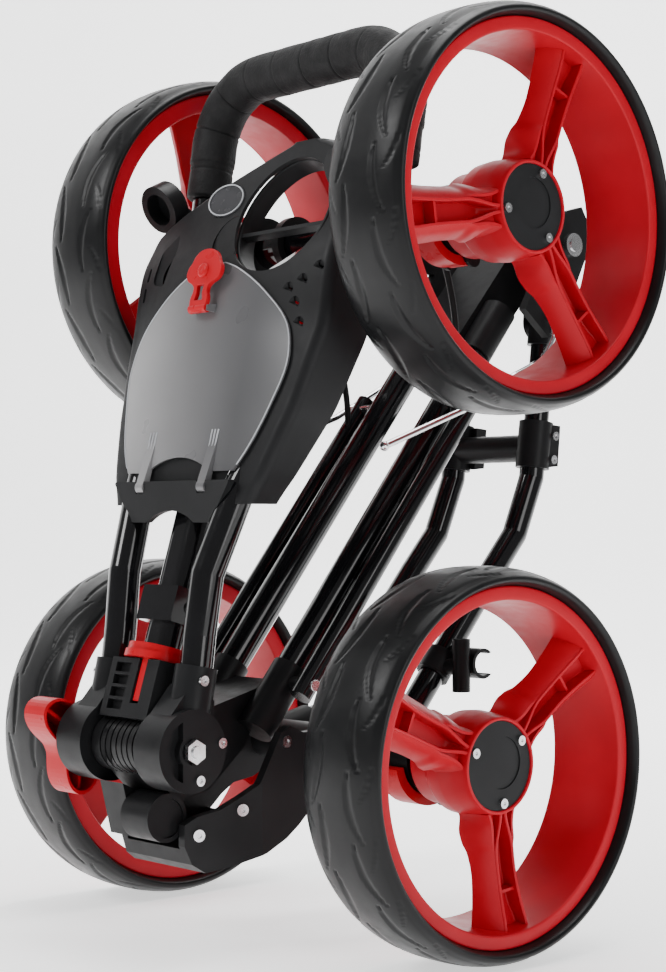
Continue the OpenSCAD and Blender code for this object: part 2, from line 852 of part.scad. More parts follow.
// Umbrella sockets beside the grip ends, one on each stem
module umbrella_sockets() {
  color([0.1, 0.1, 0.11])
    for (side = [0, 1])
      mirror([side, 0, 0])
        difference() {
          union() {
            bar([grip_x, -44, 520], [grip_x, -56, 514], 18);
            bar([grip_x - 0.5, -48, 517], [grip_x - 2, -18, 501], 9);
            bar(stem_on_z(492), stem_on_z(508), stem_r + 3.5);
          }
          bar(stem_on_z(480), stem_on_z(514), stem_r + gap);
          bar([grip_x, -46, 519], [grip_x, -68, 508], 12);
        }
}

// Point of the long straight run of the handle tube at height z
function stem_on_z(z) =
  let (a = stem_path[3], b = stem_path[4], k = (z - a[2]) / (b[2] - a[2])) a + (b - a) * k;

/* ---- front legs ---- */

leg_path = [
  [leg_x, 208, 446], [leg_x, 200, 385], [leg_x, 191, 318], [leg_x, 172, 275],
  [leg_x, 146, 246], [leg_x, 57, 142], [leg_x, 18, 132]
];
brace_mid = [0, 194, 341];
brace_low = [0, 192, 325.5];
brace_high = [0, 196.8, 361];

module front_leg_tube(side) {
  color([0.03, 0.03, 0.035])
    mirror([side < 0 ? 1 : 0, 0, 0]) bent_bar(leg_path, leg_r);
}

// Cross brace that clamps both leg tubes
module leg_brace() {
  color([0.1, 0.1, 0.11])
    difference() {
      union() {
        rod_x(brace_mid, -leg_x, leg_x, 10.5);
        for (side = [-1, 1]) {
          bar(beside(brace_low, side * leg_x), beside(brace_high, side * leg_x), leg_r + 3.5);
          plate_x(min(side * 24, side * 54), max(side * 24, side * 54), [
            [brace_mid[1] + 3, 326], [brace_mid[1] + 14, 327], [brace_mid[1] + 17, 358],
            [brace_mid[1] + 6, 359]
          ]);
        }
      }
      for (side = [-1, 1]) {
        bar([side * leg_x, leg_path[2][1], leg_path[2][2]],
            [side * leg_x, leg_path[1][1], leg_path[1][2]], leg_r + gap);
        for (at = brace_screw_at)
          rod_x([0, at[0], at[1]], min(side * 47, side * 55), max(side * 47, side * 55), 1.6);
      }
    }
}

module front_leg_screws() {
  color([0.75, 0.75, 0.76])
    for (side = [0, 1])
      mirror([side, 0, 0]) {
        for (at = brace_screw_at) screw_x([0, at[0], at[1]], leg_x + 7.8, 54, 1.5, 3.4);
        at_fairing_screws() screw_x([0, 0, 0], 1 - fairing_t, 0, 1.5, 4);
      }
}

module leg_yoke() {
  color([0.1, 0.1, 0.11])
    difference() {
      union() {
        for (side = [-1, 1]) {
          strap_x(pivot_p, [0, leg_path[0][1], leg_path[0][2] - 8],
                  min(side * yoke_in, side * yoke_out), max(side * yoke_in, side * yoke_out), 13);
          bar([side * leg_x, leg_path[0][1] + 0.6, leg_path[0][2] + 5],
              [side * leg_x, leg_path[0][1] - 3.2, leg_path[0][2] - 26], leg_r + 3);
        }
      }
      for (side = [-1, 1])
        bar([side * leg_x, leg_path[0][1], leg_path[0][2]],
            [side * leg_x, leg_path[1][1], leg_path[1][2]], leg_r + gap);
      rod_x(pivot_p, -yoke_out - 1, yoke_out + 1, pivot_bolt_r + running_gap);
    }
}

module front_axle() {
  color([0.7, 0.7, 0.71])
    rod_x(front_axle_p, -front_axle_half, front_axle_half, axle_r);
}

// Fairing around the front axle: two side plates that close in towards the front, a floor, the
// axle beam and the sockets of the leg tubes
module front_fairing() {
  color([0.15, 0.15, 0.16])
    difference() {
      union() {
        difference() {
          intersection() {
            plate_x(-fairing_out - 1, fairing_out + 1, fairing_outline);
            fairing_plan(0);
          }
          intersection() {
            plate_x(-fairing_out - 1, fairing_out + 1, fairing_hollow);
            fairing_plan(fairing_t);
          }
        }
        rod_x(front_axle_p, -front_beam_half, front_beam_half, front_beam_r);
        for (side = [-1, 1])
          bar([side * leg_x, 8, 130.2], [side * leg_x, 38, 136.8], leg_r + 2.8);
      }
      for (side = [-1, 1])
        bar([side * leg_x, 18, 132], [side * leg_x, 57, 142], leg_r + gap);
      rod_x(front_axle_p, -front_beam_half - 1, front_beam_half + 1, axle_r + running_gap);
      both() at_fairing_screws() rod_x([0, 0, 0], -fairing_t - 3, 1, 1.6);
    }
}

fairing_out = 52;
fairing_t = 6.5;
// The side plates turn inwards in front of this line
fairing_bend_y = -84;
fairing_taper = 0.327;
fairing_screw_at = [[-64, 137], [-98, 94], [-127, 79]];
fairing_outline = [
  [-136, 86], [-128, 91], [-112, 95], [-99, 102], [-86, 110], [-75, 130], [-68, 143],
  [-60, 147], [-48, 142], [-24, 143], [0, 145], [16, 140], [20, 124], [10, 110], [-12, 100],
  [-30, 97], [-41, 90], [-52, 80], [-63, 72], [-80, 64], [-105, 57], [-122, 54], [-131, 60],
  [-136, 72]
];
fairing_hollow = [
  [-140, 70], [-133, 70], [-128.5, 62], [-121, 57.5], [-104, 60.5], [-79, 67.5], [-62, 75.5],
  [-54, 81.5], [-54, 40], [60, 40], [60, 200], [-140, 200]
];

function fairing_x(y) = fairing_out - max(0, fairing_bend_y - y) * fairing_taper;

// Plan of the fairing, made narrower by t on each side
module fairing_plan(t) {
  linear_extrude(height = 250)
    polygon([
      [t - fairing_out, 70], [t - fairing_out, fairing_bend_y], [t - fairing_x(-141), -141],
      [fairing_x(-141) - t, -141], [fairing_out - t, fairing_bend_y], [fairing_out - t, 70]
    ]);
}

// Children put on the right side plate with +X square to it
module at_fairing_screws() {
  for (at = fairing_screw_at)
    translate([fairing_x(at[0]), at[0], at[1]])
      rotate([0, 0, at[0] < fairing_bend_y ? -atan(fairing_taper) : 0]) children();
}

brace_screw_at = [[brace_mid[1] + 10, 350], [brace_mid[1] + 8, 332]];

// Post and spring clip on the right leg tube, for an umbrella tip
module stand_clip() {
  p = [64, 92, 181];
  color([0.1, 0.1, 0.11])
    difference() {
      union() {
        translate(p - [0, 0, 19]) cylinder(h = 38, r = 6.5);
        bar([leg_x, 88, 178], p, 6);
        difference() {
          rod_x(p + [0, 15, 1], p[0] - 8, p[0] + 8, 11);
          plate_x(p[0] - 9, p[0] + 9, [
            [p[1] + 19, p[2] - 6], [p[1] + 30, p[2] - 8], [p[1] + 30, p[2] + 10], [p[1] + 19, p[2] + 8]
          ]);
        }
        bar([leg_x, 84, 173.5], [leg_x, 96, 187.5], leg_r + 3);
      }
      rod_x(p + [0, 15, 1], p[0] - 9, p[0] + 9, 8.5);
      bar(leg_path[4], leg_path[5], leg_r + gap);
    }
}

// Foot brake: a paddle on a ring that turns on the rear axle beam
module brake_pedal() {
  color([0.1, 0.1, 0.11])
    difference() {
      union() {
        rod_x(rear_axle_p, 24, 46, beam_r + 5);
        strap_x(rear_axle_p, rear_axle_p + [0, -36, -28], 28, 42, 6);
        strap_x(rear_axle_p + [0, -32, -33], rear_axle_p + [0, -46, -17], 20, 76, 3);
      }
      rod_x(rear_axle_p, 20, 50, beam_r + running_gap);
    }
}

/* ---- wheels ---- */

// Child wheel drawn along +Z, outboard upwards, put on an axle; turn is the spoke direction
module on_axle(p, x, side, turn) {
  translate([side * x, p[1], p[2]])
    rotate([0, side * 90, 0])
      rotate([0, 0, side > 0 ? turn + 90 : 90 - turn])
        children();
}

module tyre(rim_r) {
  half = tyre_w / 2;
  flange = rim_w / 2;
  right = [
    [rim_r - 6.9, flange - 5.2], [rim_r + 0.1, flange - 3.7], [rim_r + 0.1, flange + 0.6],
    [rim_r + 0.8, half - 2.6], [rim_r + 2, half - 0.8], [rim_r + 3.6, half],
    [rim_r + 5.4, half - 0.6], [rim_r + 7.4, half - 3.4], [rim_r + 9.2, half - 8],
    [rim_r + 10.7, half - 14], [rim_r + 11.6, half - 21], [rim_r + tyre_h, half - 29]
  ];
  left = [for (i = [len(right) - 1 : -1 : 0]) [right[i][0], -right[i][1]]];
  color([0.07, 0.07, 0.075]) rotate_extrude() polygon(concat(right, left));
}

function spoke_half(r, rim_r) = 10.5 + 15 * pow(max(0, (r - 52) / (rim_r - 60)), 2.4)
  + 7 * pow(max(0, (46 - r) / 20), 2);

// Outline of a spoke from radius r0 to r1, drawn in from its edge by t
function spoke_outline(r0, r1, t, rim_r) =
  let (steps = 12, side = [for (i = [0 : steps])
    let (r = r0 + (r1 - r0) * i / steps) [r, spoke_half(r, rim_r) - t]])
  concat(side, [for (i = [steps : -1 : 0]) [side[i][0], -side[i][1]]]);

module rim(rim_r, cap_z) {
  flange = rim_w / 2;
  front = cap_z + 0.5;
  color([0.75, 0.06, 0.08])
    difference() {
      union() {
        rotate_extrude()
          polygon([
            [rim_r - 10, flange], [rim_r, flange], [rim_r, flange - 3.5], [rim_r - 7, flange - 5],
            [rim_r - 7, 5 - flange], [rim_r, 3.5 - flange], [rim_r, -flange], [rim_r - 13, -flange]
          ]);
        translate([0, 0, hub_in_z + 9]) cylinder(h = cap_z + 2 - hub_in_z - 9, r = cap_r + 2.4);
        translate([0, 0, hub_in_z]) cylinder(h = 30, r = 36);
        for (k = [0 : 2])
          rotate([0, 0, 120 * k])
            difference() {
              translate([0, 0, -14])
                linear_extrude(height = front + 14)
                  polygon(spoke_outline(24, rim_r - 10.5, 0, rim_r));
              difference() {
                translate([0, 0, front - 13])
                  linear_extrude(height = 20)
                    polygon(spoke_outline(38, rim_r - 15, 3.6, rim_r));
                translate([rim_r - 36, -30, front - 14]) cube([2.6, 60, 12]);
              }
            }
      }
      translate([0, 0, hub_in_z - 1]) cylinder(h = 80, r = 9);
      for (z = [hub_in_z - 1, cap_z - cap_h - bearing_w - 1])
        translate([0, 0, z]) cylinder(h = bearing_w + 2, r = bearing_r + running_gap);
      translate([0, 0, cap_z - cap_h]) cylinder(h = cap_h + 4, r = cap_r + gap);
      at_cap_screws() translate([0, 0, cap_z - 16]) cylinder(h = 18, r = 1.7);
    }
}

module at_cap_screws() {
  for (k = [0 : 2]) rotate([0, 0, 120 * k]) translate([cap_r - 4, 0, 0]) children();
}

module hub_cap(cap_z) {
  color([0.13, 0.13, 0.14])
    difference() {
      translate([0, 0, cap_z - cap_h + 0.05]) cylinder(h = cap_h - 0.05, r = cap_r);
      translate([3, 0, cap_z - 0.8]) cylinder(h = 2, r = 17);
      at_cap_screws() translate([0, 0, cap_z - 16]) cylinder(h = 18, r = 1.7);
    }
}

module cap_screws(cap_z) {
  color([0.75, 0.75, 0.76])
    at_cap_screws() {
      translate([0, 0, cap_z - 12]) cylinder(h = 12.1, r = 1.6);
      difference() {
        translate([0, 0, cap_z + 0.05]) cylinder(h = 1.7, r = 3.2);
        translate([0, 0, cap_z + 0.9]) cylinder(h = 2, r = 1.3, $fn = 6);
      }
    }
}

rear_turn_right = 68;
rear_turn_left = 100;
front_turn_right = 37;
front_turn_left = 100;

module rear_wheel(side) {
  on_axle(rear_axle_p, rear_half_track, side, side > 0 ? rear_turn_right : rear_turn_left)
    children();
}

module front_wheel(side) {
  on_axle(front_axle_p, front_half_track, side, side > 0 ? front_turn_right : front_turn_left)
    children();
}

/* ---- parts ---- */

module centred() {
  translate([0, -middle_y, 0]) children();
}

centred() spine_tube(spine_x);  // spine_tube_right
centred() spine_tube(-spine_x);  // spine_tube_left
centred() centre_post();
centred() latch_block();
centred() lower_knuckle();
centred() fold_bracket();
centred() fold_pivot_bolt();
centred() rear_arm(1);  // rear_arm_right
centred() rear_arm(-1);  // rear_arm_left
centred() rear_axle_beam();
centred() rear_axle();
centred() rear_hub_housing(1);  // rear_hub_housing_right
centred() rear_hub_housing(-1);  // rear_hub_housing_left
centred() rear_bearings();
centred() bag_wires();
centred() release_collar();
centred() handle_socket(1);  // handle_socket_right
centred() handle_socket(-1);  // handle_socket_left
centred() handle_tube();
centred() foam_grip();
centred() console();
centred() console_badge();
centred() umbrella_sockets();
centred() clamp_bolt();
centred() socket_screws();
centred() clamp_knob();
centred() scorecard_lid();
centred() lid_clip();
centred() front_leg_tube(1);  // front_leg_tube_right
centred() front_leg_tube(-1);  // front_leg_tube_left
centred() leg_brace();
centred() stand_clip();
centred() front_leg_screws();
centred() leg_yoke();
centred() front_axle();
centred() front_hub_housing(1);  // front_hub_housing_right
centred() front_hub_housing(-1);  // front_hub_housing_left
centred() front_fairing();
centred() front_bearings();
centred() brake_pedal();
centred() rear_wheel(1) tyre(rear_rim_r);  // rear_tyre_right
centred() rear_wheel(1) rim(rear_rim_r, rear_cap_z);  // rear_rim_right
centred() rear_wheel(1) hub_cap(rear_cap_z);  // rear_hub_cap_right
centred() rear_wheel(1) cap_screws(rear_cap_z);  // rear_cap_screws_right
centred() rear_wheel(-1) tyre(rear_rim_r);  // rear_tyre_left
centred() rear_wheel(-1) rim(rear_rim_r, rear_cap_z);  // rear_rim_left
centred() rear_wheel(-1) hub_cap(rear_cap_z);  // rear_hub_cap_left
centred() rear_wheel(-1) cap_screws(rear_cap_z);  // rear_cap_screws_left
centred() front_wheel(1) tyre(front_rim_r);  // front_tyre_right
centred() front_wheel(1) rim(front_rim_r, front_cap_z);  // front_rim_right
centred() front_wheel(1) hub_cap(front_cap_z);  // front_hub_cap_right
centred() front_wheel(1) cap_screws(front_cap_z);  // front_cap_screws_right
centred() front_wheel(-1) tyre(front_rim_r);  // front_tyre_left
centred() front_wheel(-1) rim(front_rim_r, front_cap_z);  // front_rim_left
centred() front_wheel(-1) hub_cap(front_cap_z);  // front_hub_cap_left
centred() front_wheel(-1) cap_screws(front_cap_z);  // front_cap_screws_left
centred() rear_release_tab(1);  // rear_release_tab_right
centred() rear_release_tab(-1);  // rear_release_tab_left
centred() front_release_tab(1);  // front_release_tab_right
centred() front_release_tab(-1);  // front_release_tab_left
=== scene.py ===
import json
import math

import bmesh
import bpy
import numpy as np
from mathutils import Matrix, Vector


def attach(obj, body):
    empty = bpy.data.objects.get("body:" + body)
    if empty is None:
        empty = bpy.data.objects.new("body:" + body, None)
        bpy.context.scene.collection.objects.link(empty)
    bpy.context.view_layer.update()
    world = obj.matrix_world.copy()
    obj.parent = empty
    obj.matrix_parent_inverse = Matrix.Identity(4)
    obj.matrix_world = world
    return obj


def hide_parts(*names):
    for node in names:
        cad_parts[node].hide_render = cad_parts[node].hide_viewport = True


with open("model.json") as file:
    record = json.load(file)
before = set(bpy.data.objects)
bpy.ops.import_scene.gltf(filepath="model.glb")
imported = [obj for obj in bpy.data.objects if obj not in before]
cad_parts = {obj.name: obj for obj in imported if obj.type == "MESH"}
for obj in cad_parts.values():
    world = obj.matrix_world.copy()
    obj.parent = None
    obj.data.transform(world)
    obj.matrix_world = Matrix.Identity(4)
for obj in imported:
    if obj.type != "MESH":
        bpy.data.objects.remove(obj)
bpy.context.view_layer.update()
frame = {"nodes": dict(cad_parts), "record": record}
nodes = frame["nodes"]

MM = 0.001
# the shapes below are in mm and count Y from the front axle, which is this far from the origin in m
AXLE_Y = -0.02934
SIDES = (("right", 1), ("left", -1))
# wheel centre, half track, tyre radius and hub cap face in m, and the spoke angle on each side
WHEELS = {
    "rear": (np.array([0.0, 0.041 + AXLE_Y, 0.493]), 0.1577, 0.137, 0.0225, {"right": 68, "left": 100}),
    "front": (np.array([0.0, AXLE_Y, 0.128]), 0.1703, 0.128, 0.018, {"right": 37, "left": 100}),
}
FLANGE = 27.5  # half width of a rim
TYRE_HEIGHT = 12  # tyre radius less rim radius
NODE_BEVEL = 0.6
BEVEL_ANGLE = math.radians(32)


# ---------- materials ----------

def new_material(name):
    m = bpy.data.materials.new(name)
    m.use_nodes = True
    tree = m.node_tree
    tree.nodes.clear()
    out = tree.nodes.new("ShaderNodeOutputMaterial")
    bsdf = tree.nodes.new("ShaderNodeBsdfPrincipled")
    tree.links.new(bsdf.outputs[0], out.inputs[0])
    return m, tree, bsdf


def noise(tree, scale, detail=3.0, stretch=(1, 1, 1)):
    coord = tree.nodes.new("ShaderNodeTexCoord")
    mapping = tree.nodes.new("ShaderNodeMapping")
    mapping.inputs["Scale"].default_value = stretch
    n = tree.nodes.new("ShaderNodeTexNoise")
    n.inputs["Scale"].default_value = scale
    n.inputs["Detail"].default_value = detail
    n.inputs["Roughness"].default_value = 0.5
    tree.links.new(coord.outputs["Object"], mapping.inputs[0])
    tree.links.new(mapping.outputs[0], n.inputs[0])
    return n.outputs[0]


def ramp(tree, source, low, high, start=0.3, end=0.7):
    r = tree.nodes.new("ShaderNodeMapRange")
    r.inputs["From Min"].default_value = start
    r.inputs["From Max"].default_value = end
    r.inputs["To Min"].default_value = low
    r.inputs["To Max"].default_value = high
    tree.links.new(source, r.inputs["Value"])
    return r.outputs["Result"]


def blend(tree, factor, dark, light):
    """The colour between dark and light at factor."""
    mix = tree.nodes.new("ShaderNodeMix")
    mix.data_type = "RGBA"
    # inputs 6 and 7 and output 2 are the colour sockets
    mix.inputs[6].default_value = (*dark, 1)
    mix.inputs[7].default_value = (*light, 1)
    tree.links.new(factor, mix.inputs[0])
    return mix.outputs[2]


def material(name, dark, light, rough, grain=900.0, bump=0.15, depth=0.0002, metallic=0.0,
             coat=0.0, cloud=18.0, specular=0.14, glow=0.0, stretch=(1, 1, 1)):
    """Colour that drifts slowly between two shades, roughness that varies, and a fine surface grain."""
    m, tree, bsdf = new_material(name)
    colour = blend(tree, ramp(tree, noise(tree, cloud, 4.0), 0, 1), dark, light)
    tree.links.new(colour, bsdf.inputs["Base Color"])
    wear = noise(tree, cloud * 6, 5.0)
    tree.links.new(ramp(tree, wear, *rough), bsdf.inputs["Roughness"])
    b = tree.nodes.new("ShaderNodeBump")
    b.inputs["Strength"].default_value = bump
    b.inputs["Distance"].default_value = depth
    tree.links.new(noise(tree, grain, 2.0, stretch), b.inputs["Height"])
    tree.links.new(b.outputs[0], bsdf.inputs["Normal"])
    bsdf.inputs["Metallic"].default_value = metallic
    bsdf.inputs["Coat Weight"].default_value = coat
    bsdf.inputs["Coat Roughness"].default_value = 0.08
    bsdf.inputs["Specular IOR Level"].default_value = specular
    if glow:
        tree.links.new(colour, bsdf.inputs["Emission Color"])
        bsdf.inputs["Emission Strength"].default_value = glow
    return m


# two shades, the range of roughness, then the grain and the rest
LOOKS = {
    "gloss_black_tube": ((0.0025, 0.0025, 0.003), (0.005, 0.005, 0.006), (0.10, 0.2),
                         dict(grain=700, bump=0.04, coat=0.6)),
    "black_moulding": ((0.0045, 0.0045, 0.005), (0.0085, 0.0085, 0.0092), (0.32, 0.46),
                       dict(grain=2200)),
    "charcoal_moulding": ((0.0085, 0.0086, 0.0092), (0.0135, 0.0137, 0.0146), (0.4, 0.5),
                          dict(grain=2600, bump=0.1)),
    "grey_moulding": ((0.0065, 0.0066, 0.0072), (0.0112, 0.0114, 0.0122), (0.32, 0.44),
                      dict(grain=2200)),
    "red_moulding": ((0.40, 0.003, 0.009), (0.48, 0.005, 0.014), (0.26, 0.38),
                     dict(grain=1500, bump=0.12)),
    "red_rim": ((0.36, 0.003, 0.011), (0.43, 0.005, 0.016), (0.34, 0.46),
                dict(grain=1500, bump=0.12)),
    "steel_axle": ((0.42, 0.42, 0.43), (0.56, 0.56, 0.58), (0.25, 0.4),
                   dict(grain=500, metallic=1.0, stretch=(14, 1, 1))),
    "zinc_fastener": ((0.55, 0.55, 0.56), (0.72, 0.72, 0.73), (0.16, 0.3),
                      dict(bump=0.1, metallic=1.0)),
    "chrome_wire": ((0.6, 0.6, 0.61), (0.76, 0.76, 0.78), (0.08, 0.18),
                    dict(grain=600, bump=0.05, metallic=1.0)),
    "grip_foam": ((0.004, 0.004, 0.0045), (0.009, 0.009, 0.0095), (0.6, 0.8),
                  dict(grain=520, bump=0.75, depth=0.0006, specular=0.3)),
    "tyre_rubber": ((0.0035, 0.0036, 0.0039), (0.0068, 0.007, 0.0076), (0.3, 0.42),
                    dict(grain=1400, cloud=12, specular=0.2)),
    "badge_plastic": ((0.03, 0.03, 0.032), (0.042, 0.042, 0.046), (0.2, 0.3),
                      dict(grain=1200, bump=0.1)),
    # pale grey for the edges of clear parts: a painted highlight where they catch the light
    "clear_edge": ((0.34, 0.35, 0.37), (0.46, 0.47, 0.49), (0.15, 0.25), dict(bump=0.05)),
}
MAT = {name: material(name, dark, light, rough, **rest)
       for name, (dark, light, rough, rest) in LOOKS.items()}


def frosted_painted_light(name):
    """Sheet with painted light: its colour is paler towards the left and the foot of the lid, where
    light gathers in it.
    """
    m, tree, bsdf = new_material(name)
    coord = tree.nodes.new("ShaderNodeTexCoord")
    split = tree.nodes.new("ShaderNodeSeparateXYZ")
    tree.links.new(coord.outputs["Object"], split.inputs[0])
    factor = ramp(tree, noise(tree, 22, 4.0), 0.92, 1.0)
    for source in (ramp(tree, split.outputs["Z"], 1.0, 0.5, 0.33, 0.47),
                   ramp(tree, split.outputs["X"], 1.0, 0.12, -0.085, 0.05)):
        product = tree.nodes.new("ShaderNodeMath")
        product.operation = "MULTIPLY"
        tree.links.new(factor, product.inputs[0])
        tree.links.new(source, product.inputs[1])
        factor = product.outputs[0]
    # painted light: the colour runs from dark to pale towards the left and the foot of the lid
    colour = blend(tree, factor, (0.05, 0.05, 0.054), (0.36, 0.355, 0.36))
    tree.links.new(colour, bsdf.inputs["Base Color"])
    tree.links.new(ramp(tree, noise(tree, 40, 2.0), 0.27, 0.31), bsdf.inputs["Roughness"])
    bsdf.inputs["Alpha"].default_value = 0.86
    bsdf.inputs["Specular IOR Level"].default_value = 0.5
    return m


MAT["frosted_plastic"] = frosted_painted_light("frosted_plastic")


# ---------- mesh helpers ----------

def soften(obj, width):
    """Rounds the hard edges with a small bevel, its width in mm."""
    b = obj.modifiers.new("bevel", "BEVEL")
    b.width = width * MM
    b.segments = 2
    b.limit_method = "ANGLE"
    b.angle_limit = BEVEL_ANGLE
    b.use_clamp_overlap = True


def mesh_object(name, verts, faces, outwards=True):
    """New object from points in m."""
    me = bpy.data.meshes.new(name)
    me.from_pydata([tuple(map(float, v)) for v in verts], [], [tuple(map(int, f)) for f in faces])
    if outwards:
        bm = bmesh.new()
        bm.from_mesh(me)
        bmesh.ops.recalc_face_normals(bm, faces=bm.faces)
        bm.to_mesh(me)
        bm.free()
    o = bpy.data.objects.new(name, me)
    bpy.context.scene.collection.objects.link(o)
    return o


def solid(name, part):
    """New object from a part, which is a pair of points in mm and faces."""
    return mesh_object(name, np.array(part[0], float) * MM + [0, AXLE_Y, 0], part[1])


def use_material(o, mat):
    o.data.materials.clear()
    o.data.materials.append(mat)
    for p in o.data.polygons:
        p.material_index = 0


def finish_piece(o, body, slot, look=None, stands_for=(), smooth=30, bevel=0.0):
    """Material (that of the slot unless a look is named), shading, bevel and body."""
    use_material(o, MAT[look or slot])
    for p in o.data.polygons:
        p.use_smooth = True
    o.data.set_sharp_from_angle(angle=math.radians(smooth))
    if bevel:
        soften(o, bevel)
    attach(o, body)
    if stands_for:
        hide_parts(*stands_for)


def add_piece(name, part, body, slot, look=None, **more):
    finish_piece(solid(name, part), body, slot, look, **more)


def grid_faces(rows, cols, wrap_rows=False, wrap_cols=False):
    out = []
    for i in range(rows if wrap_rows else rows - 1):
        for j in range(cols if wrap_cols else cols - 1):
            a, b = i * cols + j, i * cols + (j + 1) % cols
            c, d = ((i + 1) % rows) * cols + (j + 1) % cols, ((i + 1) % rows) * cols + j
            out.append((a, b, c, d))
    return out


def capped_faces(n):
    """Faces of a solid between two rings of n points."""
    ends = [tuple(range(n - 1, -1, -1)), tuple(range(n, 2 * n))]
    return ends + [(i, (i + 1) % n, n + (i + 1) % n, n + i) for i in range(n)]


def circle(n):
    return [(math.cos(2 * math.pi * k / n), math.sin(2 * math.pi * k / n)) for k in range(n)]


def disc(r, n=64, r2=None):
    """Outline of a circle, or of an ellipse with r2 along Y."""
    return [(r * c, (r2 or r) * s) for c, s in circle(n)]


def rounded(points, radius, steps=4):
    """The closed polygon with each corner rounded off."""
    pts = [np.array(p, float) for p in points]
    out = []
    for i, p in enumerate(pts):
        a, b = pts[i - 1] - p, pts[(i + 1) % len(pts)] - p
        la, lb = np.linalg.norm(a), np.linalg.norm(b)
        cut = min(radius, la * 0.45, lb * 0.45)
        start, end = p + a / la * cut, p + b / lb * cut
        for t in np.linspace(0, 1, steps):
            out.append((1 - t) ** 2 * start + 2 * t * (1 - t) * p + t * t * end)
    return out


def lathe(profile, steps=192):
    """Closed ring: profile points (radius, z) turned about Z."""
    verts = [(r * c, r * s, z) for c, s in circle(steps) for r, z in profile]
    return verts, grid_faces(steps, len(profile), wrap_rows=True, wrap_cols=True)


def prism(outline, depth):
    """Solid from z 0 to depth with a closed outline."""
    verts = [(x, y, 0) for x, y in outline] + [(x, y, depth) for x, y in outline]
    return verts, capped_faces(len(outline))


def side_plate(outline, x, width):
    """Plate with its outline in Y and Z, from x to x + width."""
    verts, faces = prism(outline, width)
    return [(x + depth, y, z) for y, z, depth in verts], faces


def rod(p, q, r, n=48):
    """Round bar from p to q."""
    p, q = np.array(p, float), np.array(q, float)
    t = (q - p) / np.linalg.norm(q - p)
    a = np.cross(t, [1, 0, 0] if abs(t[0]) < 0.9 else [0, 1, 0])
    a /= np.linalg.norm(a)
    b = np.cross(t, a)
    return [end + r * (a * c + b * s) for end in (p, q) for c, s in circle(n)], capped_faces(n)


def tube(path, r, sides=12):
    """Round tube through points, closed at both ends."""
    path = np.array(path, float)
    tang = np.gradient(path, axis=0)
    tang /= np.linalg.norm(tang, axis=1)[:, None] + 1e-9
    a = np.cross(tang[0], [0.3, 1, 0.2])
    a /= np.linalg.norm(a)
    verts = []
    for p, t in zip(path, tang):
        a = a - t * np.dot(a, t)
        a /= np.linalg.norm(a)
        b = np.cross(t, a)
        verts += [p + r * (a * c + b * s) for c, s in circle(sides)]
    faces = grid_faces(len(path), sides, wrap_cols=True)
    faces.append(tuple(range(sides))[::-1])
    faces.append(tuple(range((len(path) - 1) * sides, len(path) * sides)))
    return verts, faces


def merged(parts):
    verts, faces = [], []
    for v, f in parts:
        base = len(verts)
        verts += [tuple(x) for x in v]
        faces += [tuple(base + i for i in face) for face in f]
    return verts, faces


def moved(part, rot=(0, 0, 0), to=(0, 0, 0)):
    """Rotate about X, then Y, then Z (degrees), then shift."""
    v = np.array(part[0], float)
    for axis, deg in enumerate(rot):
        a = math.radians(deg)
        c, s = math.cos(a), math.sin(a)
        i, j = [(1, 2), (2, 0), (0, 1)][axis]
        p, q = v[:, i].copy(), v[:, j].copy()
        v[:, i], v[:, j] = p * c - q * s, p * s + q * c
    return v + np.array(to, float), part[1]


def carve(base, ops):
    """Applies ("DIFFERENCE" or "UNION", part) one after another and keeps the resulting mesh."""
    for k, (kind, part) in enumerate(ops):
        tool = solid(f"tool_{k}", part)
        m = base.modifiers.new("carve", "BOOLEAN")
        m.operation = kind
        m.object = tool
        # the exact solver, or the fast one when it loses most of the mesh
        for solver in ("EXACT", "FAST"):
            m.solver = solver
            bpy.context.view_layer.update()
            dg = bpy.context.evaluated_depsgraph_get()
            me = bpy.data.meshes.new_from_object(base.evaluated_get(dg))
            if len(me.vertices) > len(base.data.vertices) / 2:
                break
        base.modifiers.clear()
        old = base.data
        base.data = me
        bpy.data.meshes.remove(old)
        bpy.data.objects.remove(tool)


def smoothstep(a, b, x):
    t = np.clip((x - a) / (b - a), 0, 1)
    return t * t * (3 - 2 * t)


def arc_length(path):
    """Distance along the path at each of its points."""
    return np.concatenate([[0], np.cumsum(np.linalg.norm(np.diff(path, axis=0), axis=1))])


def resampled(path, distance, at):
    return np.stack([np.interp(at, distance, column) for column in path.T], 1)


def spline(points, step=4.0):
    """Smooth run through the points."""
    p = np.array(points, float)
    p = np.vstack([2 * p[0] - p[1], p, 2 * p[-1] - p[-2]])
    out = []
    for i in range(1, len(p) - 2):
        a, b, c, d = p[i - 1:i + 3]
        n = max(2, int(np.linalg.norm(c - b) / step))
        for t in np.linspace(0, 1, n, endpoint=False):
            out.append(0.5 * (2 * b + (c - a) * t + (2 * a - 5 * b + 4 * c - d) * t ** 2
                              + (3 * b - a - 3 * c + d) * t ** 3))
    out.append(p[-2])
    return out


# ---------- CAD nodes shown as they are ----------

slot_of = {s["node"]: s["material_slot"] for s in frame["record"]["subparts"]}
for name, obj in nodes.items():
    use_material(obj, MAT[slot_of[name]])


# ---------- wheels ----------

def on_axle(part, end, side):
    """A wheel part, with +Z outboard and a spoke along +X, put on its axle, its points now in m."""
    centre, track, _, _, turns = WHEELS[end]
    sign = dict(SIDES)[side]
    turn = math.radians(turns[side] + 90 if sign > 0 else 90 - turns[side])
    v = np.array(part[0], float) * MM
    x = v[:, 0] * math.cos(turn) - v[:, 1] * math.sin(turn)
    y = v[:, 0] * math.sin(turn) + v[:, 1] * math.cos(turn)
    z = v[:, 2]
    placed = [sign * (z + track) + centre[0], y + centre[1], -sign * x + centre[2]]
    return np.stack(placed, 1), part[1]


def add_wheel_piece(kind, suffix, slot, part, end, side, smooth):
    o = mesh_object(f"{end}_{kind}_{side}_{suffix}", *on_axle(part, end, side))
    finish_piece(o, f"{end}_wheel_{side}", slot, stands_for=[f"{end}_{kind}_{side}"],
                 smooth=smooth)


